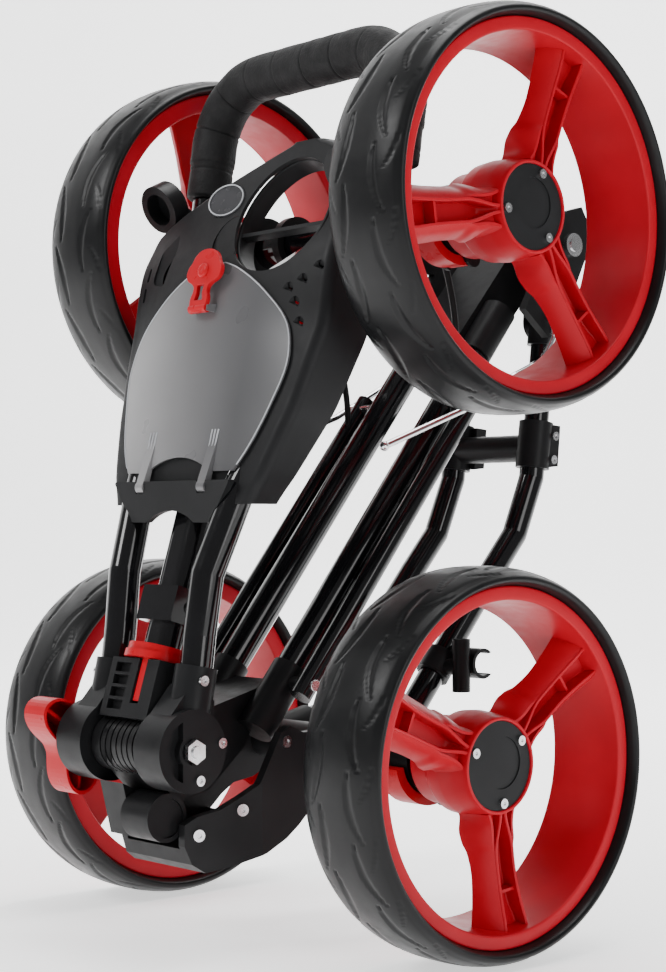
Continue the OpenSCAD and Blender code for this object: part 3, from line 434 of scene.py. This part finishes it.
def spoke(rim_r, cap_z):
    """One spoke along +X: two ribs over a sunken channel, with pockets where they part at the hub."""
    rows, rib, bow_steps = 56, 2.3, 7
    start, end = 29.6, rim_r - 9.5
    verts = []
    for i in range(rows):
        r = start + (end - start) * i / (rows - 1)
        t = (r - start) / (end - start)
        top = cap_z + 0.3 - 2.2 * math.sin(math.pi * min(1, t * 1.1)) + (FLANGE - 6.5 - cap_z) * t ** 3
        channel = 0.9 + 5.2 * smoothstep(0.0, 0.34, t) + 0.6 * t + 7.0 * max(0, t - 0.5) ** 1.8
        floor = top - 0.8 - 11.0 * smoothstep(0.0, 0.14, t) + 2.5 * smoothstep(0.8, 1, t)
        near_hub = max(0.0, (0.34 - t) / 0.34)
        opened = smoothstep(0.0, 0.3, near_hub)
        sunk = top - 0.55 - 5.5 * opened
        edge = channel + rib + 7.5 * near_hub ** 1.7
        brow = edge + 1.9 * opened
        flare = (7.0 + 3.0 * (1 - t) ** 2 + 4.5 * t ** 2) * (0.4 + 0.6 * smoothstep(0.0, 0.18, t))
        low = cap_z - 18.0 - 8.0 * (1 - smoothstep(0.0, 0.55, t))
        shoulder = top - 0.9 - 0.8 * near_hub
        half = [
            (channel - 0.7, floor), (channel, floor + 0.7), (channel, top - 0.5), (channel + 0.5, top),
            (channel + rib - 0.5, top), (channel + rib, top - 0.5), (channel + rib, sunk),
            (edge, sunk), (edge, shoulder), (brow, shoulder - 0.05)]
        for k in range(1, bow_steps + 1):
            bow = k / bow_steps
            half.append((brow + flare * (0.75 * bow + 0.25 * math.sin(math.pi * bow / 2)),
                         shoulder + (low + 1.5 - shoulder) * (0.55 * bow + 0.45 * bow * bow)))
        half.append((brow + flare - 1.5, low))
        ring = [(-v, z) for v, z in reversed(half)] + half
        cols = len(ring)
        verts += [(r, v, z) for v, z in ring]
    faces = grid_faces(rows, cols, wrap_cols=True)
    faces.append(tuple(range(cols)))
    faces.append(tuple((rows - 1) * cols + k for k in range(cols - 1, -1, -1)))
    # bridge across the channel
    low, high, wide = cap_z - 12, cap_z - 3.4, 8.2
    bridge = side_plate([(-wide, low), (wide, low), (wide, high), (-wide, high)],
                        start + (end - start) * 0.68 - 1.0, 2.0)
    return merged([(verts, faces), bridge])


def make_rim(end, side):
    _, _, tyre_r, cap, _ = WHEELS[end]
    rr, cap_z = tyre_r / MM - TYRE_HEIGHT, cap / MM
    barrel = rounded([
        (rr - 9.5, FLANGE), (rr - 0.4, FLANGE), (rr - 0.2, FLANGE - 3.4), (rr - 7, FLANGE - 5),
        (rr - 7, 5 - FLANGE), (rr - 0.2, 3.4 - FLANGE), (rr - 0.4, -FLANGE), (rr - 13, -FLANGE),
        (rr - 11.5, 0)], 1.4, 4)
    hub = rounded([
        (6.3, -36.5), (27, -36.5), (29, -34), (29.5, -20), (33.4, -15), (34.4, -4), (33.4, cap_z - 12),
        (32, cap_z - 4), (31.2, cap_z + 1.3), (28.9, cap_z + 1.3), (28.9, cap_z - 3.9),
        (6.3, cap_z - 3.9)], 1.0, 3)
    one = spoke(rr, cap_z)
    spokes = [moved(one, (0, 0, 120 * k)) for k in range(3)]
    rim = merged([lathe(barrel, 240), lathe(hub, 144)] + spokes)
    add_wheel_piece("rim", "shaped", "red_rim", rim, end, side, 38)


def lens(s, u, s0, u0, length, width, tilt, bow):
    """Depth, 0 to 1, of a lens-shaped groove round s0, u0."""
    ds, du = s - s0, u - u0
    a = ds * math.cos(tilt) + du * math.sin(tilt)
    b = -ds * math.sin(tilt) + du * math.cos(tilt) - bow * (a / length) ** 2
    w = width * np.clip(1 - (a / length) ** 2, 0, 1) + 1e-6
    inside = (np.abs(a) < length).astype(float)
    return inside * smoothstep(0, 0.55, 1 - np.abs(b) / w)


def make_tyre(end, side):
    """Cross-section turned about the axle, with the tread cut along its normals."""
    rr, half = WHEELS[end][2] / MM - TYRE_HEIGHT, 35.0
    right = [
        (rr - 6.9, FLANGE - 5.2), (rr + 0.1, FLANGE - 3.7), (rr + 0.1, FLANGE + 0.6),
        (rr + 0.8, half - 2.6), (rr + 2, half - 0.8), (rr + 3.6, half), (rr + 5.4, half - 0.6),
        (rr + 7.4, half - 3.4), (rr + 9.2, half - 8), (rr + 10.7, half - 14), (rr + 11.6, half - 21),
        (rr + 12, half - 29)]
    control = np.array(right + [(r, -z) for r, z in reversed(right)])
    # denser points over the tread
    length = arc_length(control)
    at = np.concatenate([length[:4], np.arange(length[3], length[-4], 1.6), length[-4:]])
    prof = resampled(control, length, np.unique(np.round(at, 3)))
    # ease the corners of the interpolated tread
    for _ in range(3):
        prof[3:-3] = (prof[2:-4] + 2 * prof[3:-3] + prof[4:-2]) / 4
    slope = np.gradient(prof, axis=0)
    normal = np.stack([-slope[:, 1], slope[:, 0]], 1)
    normal /= np.linalg.norm(normal, axis=1)[:, None] + 1e-9
    if normal[len(prof) // 2, 0] < 0:
        normal = -normal
    steps, blocks, shoulder_z = 900, 18, 31.0
    tread_r = rr + 10
    pitch = 2 * math.pi * tread_r / blocks
    theta = 2 * math.pi * np.arange(steps) / steps
    s = (theta * tread_r) % pitch
    verts = np.zeros((steps, len(prof), 3))
    for j, (r, z) in enumerate(prof):
        cut = np.zeros(steps)
        # no tread on the bead
        if 3 <= j <= len(prof) - 4:
            for flip in (1, -1):
                u = np.full(steps, z * flip)
                for shift in (-pitch, 0, pitch):
                    base = shift + (pitch / 2 if flip < 0 else 0)
                    cut += 0.85 * lens(s, u, base + pitch * 0.5, 13, 25, 3.4, 0.16, 5.0)
                    cut += 0.5 * lens(s, u, base + pitch * 0.18, 27.5, 12, 1.6, -0.35, -2.0)
            # fine line round the shoulder
            cut += 0.35 * np.exp(-((abs(z) - shoulder_z) / 0.9) ** 2)
        radius = r - cut * normal[j, 0]
        verts[:, j, 0] = radius * np.cos(theta)
        verts[:, j, 1] = radius * np.sin(theta)
        verts[:, j, 2] = z - cut * normal[j, 1]
    tyre = verts.reshape(-1, 3), grid_faces(steps, len(prof), wrap_rows=True, wrap_cols=True)
    add_wheel_piece("tyre", "tread", "tyre_rubber", tyre, end, side, 50)


for end in WHEELS:
    for side, _ in SIDES:
        make_rim(end, side)
        make_tyre(end, side)


# ---------- foam grip ----------

GRIP_LEAN = math.radians(9)
GRIP_Y, GRIP_Z = -12, 512  # foot of the handle tube that the grip follows
GRIP_TOP = 613
RING_PITCH = 31.0  # between the grooves round the grip


def grip_path():
    """Points along the grip, in mm, from the right end over the top to the left end."""
    start, step, side_x, bend = 14.0, 1.2, 102.0, 46.0
    rise = (GRIP_TOP - GRIP_Z) / math.cos(GRIP_LEAN) - bend
    half = [(side_x, h) for h in np.arange(start, rise, step)]
    half += [(side_x - bend + bend * math.cos(a), rise + bend * math.sin(a))
             for a in np.linspace(0, math.pi / 2, 30)]
    half += [(x, rise + bend) for x in np.arange(side_x - bend - step, 0, -step)]
    half = np.array(half)
    whole = np.concatenate([half, (half * [-1, 1])[::-1]])
    return np.stack([whole[:, 0], whole[:, 1] * math.sin(GRIP_LEAN) + GRIP_Y,
                     whole[:, 1] * math.cos(GRIP_LEAN) + GRIP_Z], 1)


def make_grip():
    tube_r, outer_r, sides = 11.2, 16.9, 48
    path = grip_path()
    # even spacing, so that the grooves are crisp
    distance = arc_length(path)
    path = resampled(path, distance, np.arange(0, distance[-1], 0.7))
    distance = arc_length(path)
    wave = np.random.default_rng(7).normal(0, 1, (40, 3))

    def radius(d, angle):
        edge = min(d, distance[-1] - d)
        groove = min(abs(((d + 6) % RING_PITCH) - RING_PITCH / 2), 3.0)
        r = outer_r - 0.8 * math.exp(-(groove / 0.7) ** 2)
        r -= 1.6 * (1 - min(1, edge / 1.6)) ** 2
        r += 0.12 * math.sin(wave[int(d / RING_PITCH) % 40][0] * 3 + d * 0.25 + angle)
        # slimmer end rings
        return r - 0.7 if edge < 27 else r

    along = np.gradient(path, axis=0)
    along /= np.linalg.norm(along, axis=1)[:, None]
    up = np.array([0, math.cos(GRIP_LEAN), -math.sin(GRIP_LEAN)])
    verts = []
    for p, t, d in zip(path, along, distance):
        a = up - t * np.dot(up, t)
        a /= np.linalg.norm(a)
        b = np.cross(t, a)
        for k in range(sides):
            angle = 2 * math.pi * k / sides
            verts.append(p + radius(d, angle) * (a * math.cos(angle) + b * math.sin(angle)))
    rows = len(path)
    faces = grid_faces(rows, sides, wrap_cols=True)
    # flat ring ends down to the tube
    for row, flip in ((0, True), (rows - 1, False)):
        base = len(verts)
        centre = path[row]
        ring = verts[row * sides:(row + 1) * sides]
        verts += [centre + (p - centre) * (tube_r / np.linalg.norm(p - centre)) for p in ring]
        for k in range(sides):
            a, b = row * sides + k, row * sides + (k + 1) % sides
            c, e = base + (k + 1) % sides, base + k
            faces.append((a, e, c, b) if flip else (a, b, c, e))
    add_piece("foam_grip_ringed", (verts, faces), "handle", "grip_foam",
              stands_for=["foam_grip"], smooth=60)


make_grip()


# ---------- console ----------

# height, then Y on the middle line of the front face
MID = [[284, -121], [320, -114], [395, -97], [450, -84], [466, -79], [490, -66], [546, -41]]
# height, then how far the face falls back at CURVE_X
CURVE = [[284, 5], [314, 7], [360, 12], [417, 15], [497, 8], [546, 3]]
CURVE_X = 107.0
# height, then Y of the back edge
BACK = [[284, -96], [307, -86], [356, -60], [405, -40], [450, -30], [490, -22], [546, -24]]
# height, then X of the left and right edges
LEFT = [[296, -74], [314, -83], [358, -97], [412, -107], [470, -108], [492, -103],
        [505, -80], [523, -34], [531, -12], [540, 14], [546, 34]]
RIGHT = [[296, 74], [314, 83], [358, 97], [412, 107], [497, 107], [512, 105],
         [523, 100], [531, 93], [540, 78], [546, 58]]
# height, then half width of the lid
LID = [[318, 58], [330, 66], [360, 79], [395, 86], [420, 76], [435, 60], [446, 45], [454, 31],
       [459, 20], [462, 10]]
LID_GAP, LID_THICK = 0.8, 2.0
HINGE_X, HINGE_Y, HINGE_Z = 34, -119.5, 308
CLIP_Y, CLIP_Z = -97.5, 430
CUP = (46.0, -58.0, 491.0)
CUP_R = 44.0
CUP_TILT = 90 - 24
WALL = 3
# centre line of the right handle stem, and the holes for tees on the right wing
STEM = ((44, -131, 210), (46, -126, 250), (55, -106, 307), (102, -12, 512))
TEES = [(97, 453), (85, 445), (74, 440), (81, 430), (87, 416)]


def table_at(table, z, soft):
    """Value at height z, averaged over soft mm on both sides."""
    t = np.array(table, float)
    return float(np.mean([np.interp(z + d, t[:, 0], t[:, 1]) for d in np.linspace(-soft, soft, 9)]))


def front_y(x, z):
    return table_at(MID, z, 9) + table_at(CURVE, z, 9) * (x / CURVE_X) ** 2


def front_row(z, inset, n=44):
    """Points of the shell at height z: back edge, round the left corner, across the face and back."""
    x0, x1 = table_at(LEFT, z, 3) + inset, table_at(RIGHT, z, 3) - inset
    r = min(9 - inset, (x1 - x0) / 4)
    back = table_at(BACK, z, 6)
    row = [(x0, back, z)]
    for a in np.linspace(0, math.pi / 2, 8):
        row.append((x0 + r - r * math.cos(a), front_y(x0 + r, z) + inset + r - r * math.sin(a), z))
    for i in range(1, n):
        x = x0 + r + (x1 - x0 - 2 * r) * i / n
        row.append((x, front_y(x, z) + inset, z))
    for a in np.linspace(math.pi / 2, 0, 8):
        row.append((x1 - r + r * math.cos(a), front_y(x1 - r, z) + inset + r - r * math.sin(a), z))
    row.append((x1, back, z))
    return row


def loft(rings):
    """Solid through rings that run out along one skin and back along the other."""
    n, m = len(rings[0]), len(rings)
    verts = [p for ring in rings for p in ring]
    faces = []
    for k in range(m - 1):
        for i in range(n):
            j = (i + 1) % n
            faces.append((k * n + i, (k + 1) * n + i, (k + 1) * n + j, k * n + j))
    last = (m - 1) * n
    for i in range(n // 2 - 1):
        faces.append((i, i + 1, n - 2 - i, n - 1 - i))
        faces.append((last + i, last + n - 1 - i, last + n - 2 - i, last + i + 1))
    return verts, faces


def on_face(part, tilt, x, z, lift=0.0):
    """Tilted up and put on the front face, lift mm behind it."""
    return moved(part, (tilt, 0, 0), (x, front_y(x, z) + lift, z))


def on_badge(part):
    return on_face(moved(part, (0, 0, -12)), 66, -21, 511)


def on_cup(part):
    return moved(part, (CUP_TILT, 0, 0), CUP)


def hinge_rod(sign, half, r, n):
    x = sign * HINGE_X
    return rod([x - half, HINGE_Y, HINGE_Z], [x + half, HINGE_Y, HINGE_Z], r, n)


def cylinder_cut(r, depth, z):
    """Round opening along Y through the front of the shell."""
    return moved(prism(disc(r, 96), depth), (-90, 0, 0), (0, -200, z))


def make_console():
    levels = list(np.arange(296, 540, 4.0)) + [541, 543.5, 545, 546]
    base = solid("console_shaped", loft([front_row(z, 0) + front_row(z, WALL)[::-1] for z in levels]))
    lip = prism(rounded([(-44, 284), (44, 284), (64, 312), (-64, 312)], 3, 4), 5)
    cuts = [on_cup(moved(prism(disc(CUP_R, 96), 80), to=(0, 0, -30))), cylinder_cut(47, 120, 245)]
    for _, sign in SIDES:
        flip = np.array([sign, 1, 1])
        cuts.append(tube(np.array(STEM) * flip, 11.4, 40))
        cuts.append(rod(np.array([102, -36, 524]) * flip, np.array([102, -66, 509]) * flip, 18.4))
        cuts.append(hinge_rod(sign, 4.5, 5.2, 32))
    for x, z in TEES:
        hole = [(0.01, -1.2), (5.2, -1.2), (2.7, 1.6), (2.7, 2.5), (0.01, 2.5)]
        cuts.append(on_face(lathe(hole[::-1], 32), -90 + 14, x, z))
    # seat of the badge, thumb hollow above the lid, pocket and slots on the left wing
    cuts.append(on_badge(moved(prism(disc(21.3, 64, 13.8), 12), to=(0, 0, -2))))
    cuts.append(on_face(prism(disc(17.5, 72), 16), 66.6, 0, 481, 1.3))
    pocket = rounded([(-9, -20), (8, -24), (12, 4), (6, 20), (-8, 16)], 5, 5)
    cuts.append(on_face(prism(pocket, 10), 90 - 18, -74, 474, 2.0))
    slot = rounded([(-1.6, -5.5), (1.6, -5.5), (1.6, 5.5), (-1.6, 5.5)], 1.4, 4)
    for x, z in ((-92, 462), (-93, 447)):
        cuts.append(on_face(prism(slot, 14), 90 - 16, x, z, 6))
    carve(base, [("UNION", moved(lip, (90, 0, 0), (0, -117.5, 0)))] + [("DIFFERENCE", c) for c in cuts])
    finish_piece(base, "handle", "charcoal_moulding", stands_for=["console"], smooth=32, bevel=0.5)


def make_console_trim():
    """Ring wall and bar of the cup opening, ring round the badge, hinge pins of the lid."""
    wall = [(CUP_R - 0.3, -12), (CUP_R - 0.3, 1.6), (CUP_R + 0.4, 2.2), (CUP_R + 2.0, 2.2),
            (CUP_R + 2.6, 1.4), (CUP_R + 2.6, -12)]
    bar = prism([(-CUP_R - 1, -11), (CUP_R + 1, -11), (CUP_R + 1, -8), (-CUP_R - 1, -8)], 7)
    cup_ring = merged([lathe(wall[::-1], 128), moved(bar, to=(0, 0, -6))])
    add_piece("console_cup_ring", on_cup(cup_ring), "handle", "charcoal_moulding")
    # the ring round the badge is pale grey, a painted highlight on its edge
    ring = [(19.6 * math.cos(a), 12.2 * math.sin(a), 1.1) for a in np.linspace(0, 2 * math.pi, 73)]
    add_piece("badge_ring", on_badge(tube(ring, 0.5, 10)), "handle", "charcoal_moulding", "clear_edge")
    for side, sign in SIDES:
        add_piece(f"lid_hinge_pin_{side}", hinge_rod(sign, 6.5, 1.6, 24), "handle", "charcoal_moulding")


def lid_half_width(z):
    """Half width of the lid, as a smooth curve through the outline's points."""
    t = np.array(LID, float)
    i = int(np.clip(np.searchsorted(t[:, 0], z) - 1, 0, len(t) - 2))
    slope = np.gradient(t[:, 1], t[:, 0])
    h = t[i + 1, 0] - t[i, 0]
    u = np.clip((z - t[i, 0]) / h, 0, 1)
    return float((2 * u ** 3 - 3 * u ** 2 + 1) * t[i, 1] + (u ** 3 - 2 * u ** 2 + u) * h * slope[i]
                 + (3 * u ** 2 - 2 * u ** 3) * t[i + 1, 1] + (u ** 3 - u ** 2) * h * slope[i + 1])


def lid_y(x, z):
    """Y of the lid's front skin."""
    return front_y(x, z) - LID_GAP - LID_THICK


def make_lid():
    rings = []
    for z in list(np.arange(318, 459, 3.0)) + [459.5, 460.8, 461.6]:
        xs = lid_half_width(z) * np.sin(np.linspace(-math.pi / 2, math.pi / 2, 41))
        rings.append([(x, lid_y(x, z), z) for x in xs]
                     + [(x, lid_y(x, z) + LID_THICK, z) for x in xs[::-1]])
    base = solid("scorecard_lid_shaped", loft(rings))
    ops = [("DIFFERENCE", cylinder_cut(66, 150, 262))]
    ribs = []
    for _, sign in SIDES:
        x = sign * HINGE_X
        ops.append(("UNION", hinge_rod(sign, 4, 4.2, 40)))
        tab = [(HINGE_Y - 4.1, HINGE_Z), (-118, HINGE_Z), (front_y(x, 334) - LID_GAP, 334),
               (lid_y(x, 340), 340)]
        ops.append(("UNION", side_plate(tab, x - 4, 8)))
        for dx in (-3.2, 0, 3.2):
            # the foot of each rib stands a little prouder
            line = [(x + dx, lid_y(x, z) - 0.2 * (z < 345), z) for z in np.linspace(316, 346, 9)]
            ribs.append(tube(line, 0.6, 8))
    carve(base, ops)
    finish_piece(base, "scorecard_lid", "frosted_plastic", stands_for=["scorecard_lid"],
                 smooth=35, bevel=0.35)
    # edge line round the lid and the ribs that stiffen its hinge tabs, both pale grey: painted
    # highlight where the clear edges catch the light
    half = [(lid_half_width(z), z) for z in np.linspace(322, 461.8, 80)]
    edge = [(x, lid_y(x, z), z) for x, z in half]
    edge += [(-x, y, z) for x, y, z in edge[::-1]]
    for name, part in (("edge", tube(edge, 0.5, 10)), ("ribs", merged(ribs))):
        add_piece(f"scorecard_lid_{name}", part, "scorecard_lid", "frosted_plastic", "clear_edge")
    # ears that carry the clip
    ear = [(CLIP_Y - 1.5, 428), (CLIP_Y + 6, 427), (CLIP_Y + 7, 433), (CLIP_Y - 1, 432)]
    for (side, _), x in zip(SIDES, (9.2, -10.7)):
        plate = side_plate(ear, x, 1.5)
        add_piece(f"scorecard_lid_ear_{side}", plate, "scorecard_lid", "frosted_plastic")


def make_clip():
    def placed(part):
        """From flat, with the pivot at the origin, to the clip's place on the lid."""
        lean = math.degrees(math.atan(0.236))
        upright = moved(moved(part, to=(0, 0, -0.8)), (90, 0, 0))
        return moved(upright, (-lean, 0, 0), (0, CLIP_Y, CLIP_Z))

    half = [(0, -3.4), (6.5, -2.8), (9.6, 1.4), (10, 7), (7.8, 11.5), (7.8, 15), (11, 17.5),
            (17.5, 20), (20, 25), (18.5, 30), (15.5, 32.5), (13, 37.5), (7.5, 41.5), (0, 42.6)]
    outline = half + [(-x * 0.92, y) for x, y in half[-2:0:-1]]
    base = solid("lid_clip_shaped", placed(prism(rounded(outline, 4, 5), 3.4)))
    hole = [(-4.6, 5.5), (4.6, 5.5), (3.0, 10.5), (3.8, 16.5), (-3.8, 16.5), (-3.0, 10.5)]
    carve(base, [("DIFFERENCE", placed(moved(prism(rounded(hole, 0.8, 3), 12), to=(0, 0, -4))))])
    finish_piece(base, "lid_clip", "red_moulding", stands_for=["lid_clip"], smooth=40, bevel=0.4)
    boss = lathe(rounded([(0.02, 2), (5.2, 2), (5.2, 4.6), (3.6, 5.6), (0.02, 5.6)], 0.8, 4), 40)
    add_piece("lid_clip_boss", placed(moved(boss, to=(0.5, 26.5, 0))), "lid_clip", "red_moulding",
              smooth=40, bevel=0.4)
    pin = rod([-9, CLIP_Y, CLIP_Z], [9, CLIP_Y, CLIP_Z], 3.1, 32)
    add_piece("lid_clip_pin", pin, "lid_clip", "red_moulding")


# ---------- cables and stays ----------

# the right cable, and the ends of the clips that hold it to the spine; the left ones mirror them
CABLE = [(18, -60, 166), (34, -34, 172), (49, -8, 214), (49, 40, 274), (50, 78, 318), (58, 92, 372),
         (66, 84, 430), (72, 66, 474), (80, 52, 490)]
CABLE_CLIPS = (((46, 14, 243), (46, 22, 253)), ((46, 60, 296), (46, 68, 306)))


def make_cables():
    clips = []
    for side, sign in SIDES:
        flip = np.array([sign, 1, 1])
        cable = tube(spline(np.array(CABLE) * flip), 2.4, 14)
        add_piece(f"brake_cable_{side}", cable, "main_frame", "black_moulding")
        clips += [rod(np.array(a) * flip, np.array(b) * flip, 5.2, 24) for a, b in CABLE_CLIPS]
    add_piece("cable_clips", merged(clips), "main_frame", "black_moulding")


def make_stays():
    """Stay tubes beside the spine, their cross pins, and the screws of the post sleeve."""
    foot, way = np.array([0, -70, 149.5]), np.array([0, 0.8, 1]) / math.hypot(0.8, 1)
    sleeve = np.array([0, -119.7, 227])
    for side, sign in SIDES:
        def out(x, at):
            """The point at, moved x outwards."""
            return at + [sign * x, 0, 0]

        stay = tube([out(58, foot + way * k) for k in np.linspace(22, 292, 12)], 7.5, 40)
        add_piece(f"stay_tube_{side}", stay, "main_frame", "gloss_black_tube")
        ends = [foot + way * k for k in (32, 282)]
        pins = [rod(out(38, p), out(58, p), 5, 32) for p in ends]
        add_piece(f"stay_pins_{side}", merged(pins), "main_frame", "black_moulding")
        heads = [rod(out(65, p), out(67, p), 4, 24) for p in ends]
        heads.append(rod(out(18.8, sleeve), out(21, sleeve), 4, 24))
        add_piece(f"stay_screws_{side}", merged(heads), "main_frame", "zinc_fastener", bevel=0.4)


make_console()
make_console_trim()
make_lid()
make_clip()
make_cables()
make_stays()


# ---------- stage, light and camera ----------

def make_stage():
    """Floor that sweeps up into a backdrop, turned to face the camera."""
    paint = material("floor_paint", (0.93, 0.93, 0.93), (0.96, 0.96, 0.96), (0.75, 0.9),
                     grain=300, bump=0.03, cloud=2, glow=1.05)
    front, back, height, bend, half_width = -6.0, 4.0, 6.0, 1.5, 9.0
    drop = 0.0005  # below the tyres, so that nothing is coplanar
    rows = [(front, 0.0)]
    rows += [(back - bend + bend * math.sin(a), bend - bend * math.cos(a))
             for a in np.linspace(0, math.pi / 2, 16)]
    rows.append((back, height))
    turn = math.radians(48)
    c, s = math.cos(turn), math.sin(turn)
    verts = [(x * c - y * s, x * s + y * c, z - drop)
             for x in (-half_width, half_width) for y, z in rows]
    n = len(rows)
    faces = [(i, n + i, n + i + 1, i + 1) for i in range(n - 1)]
    o = mesh_object("floor_sweep", verts, faces, outwards=False)
    use_material(o, paint)
    for p in o.data.polygons:
        p.use_smooth = True


def aim(o, pos, target):
    o.location = pos
    o.rotation_euler = (Vector(target) - Vector(pos)).to_track_quat("-Z", "Y").to_euler()


def light(name, pos, target, size, power):
    d = bpy.data.lights.new(name, "AREA")
    d.shape = "RECTANGLE"
    d.size, d.size_y = size
    d.energy = power
    o = bpy.data.objects.new(name, d)
    bpy.context.scene.collection.objects.link(o)
    aim(o, pos, target)


def make_lights():
    centre = (0, 0.03, 0.3)
    light("key", (-0.9, -2.3, 2.2), centre, (1.0, 1.0), 46)
    light("fill", (2.6, -0.3, 1.0), centre, (0.9, 1.8), 22)
    light("top", (0.2, 0.2, 2.8), centre, (1.4, 1.4), 50)
    light("backdrop", (-0.2, 1.4, 2.6), (-2.6, 2.4, 0.8), (2.4, 1.2), 150)
    world = bpy.data.worlds.new("studio")
    bpy.context.scene.world = world
    world.use_nodes = True
    colour, strength = world.node_tree.nodes["Background"].inputs[:2]
    colour.default_value = (1, 1, 1, 1)
    strength.default_value = 0.3


def make_camera():
    c = bpy.data.cameras.new("camera")
    c.lens = 72.2
    c.sensor_width = 36
    c.clip_start = 0.05
    o = bpy.data.objects.new("camera", c)
    bpy.context.scene.collection.objects.link(o)
    shift = Vector((0, AXLE_Y, 0))
    aim(o, Vector((1.05096, -0.91543, 0.28358)) + shift, Vector((-0.0176, 0.041, 0.3109)) + shift)
    bpy.context.scene.camera = o


make_stage()
make_lights()
make_camera()

for name, obj in nodes.items():
    if not obj.hide_render and name not in ("console", "scorecard_lid"):
        soften(obj, NODE_BEVEL)
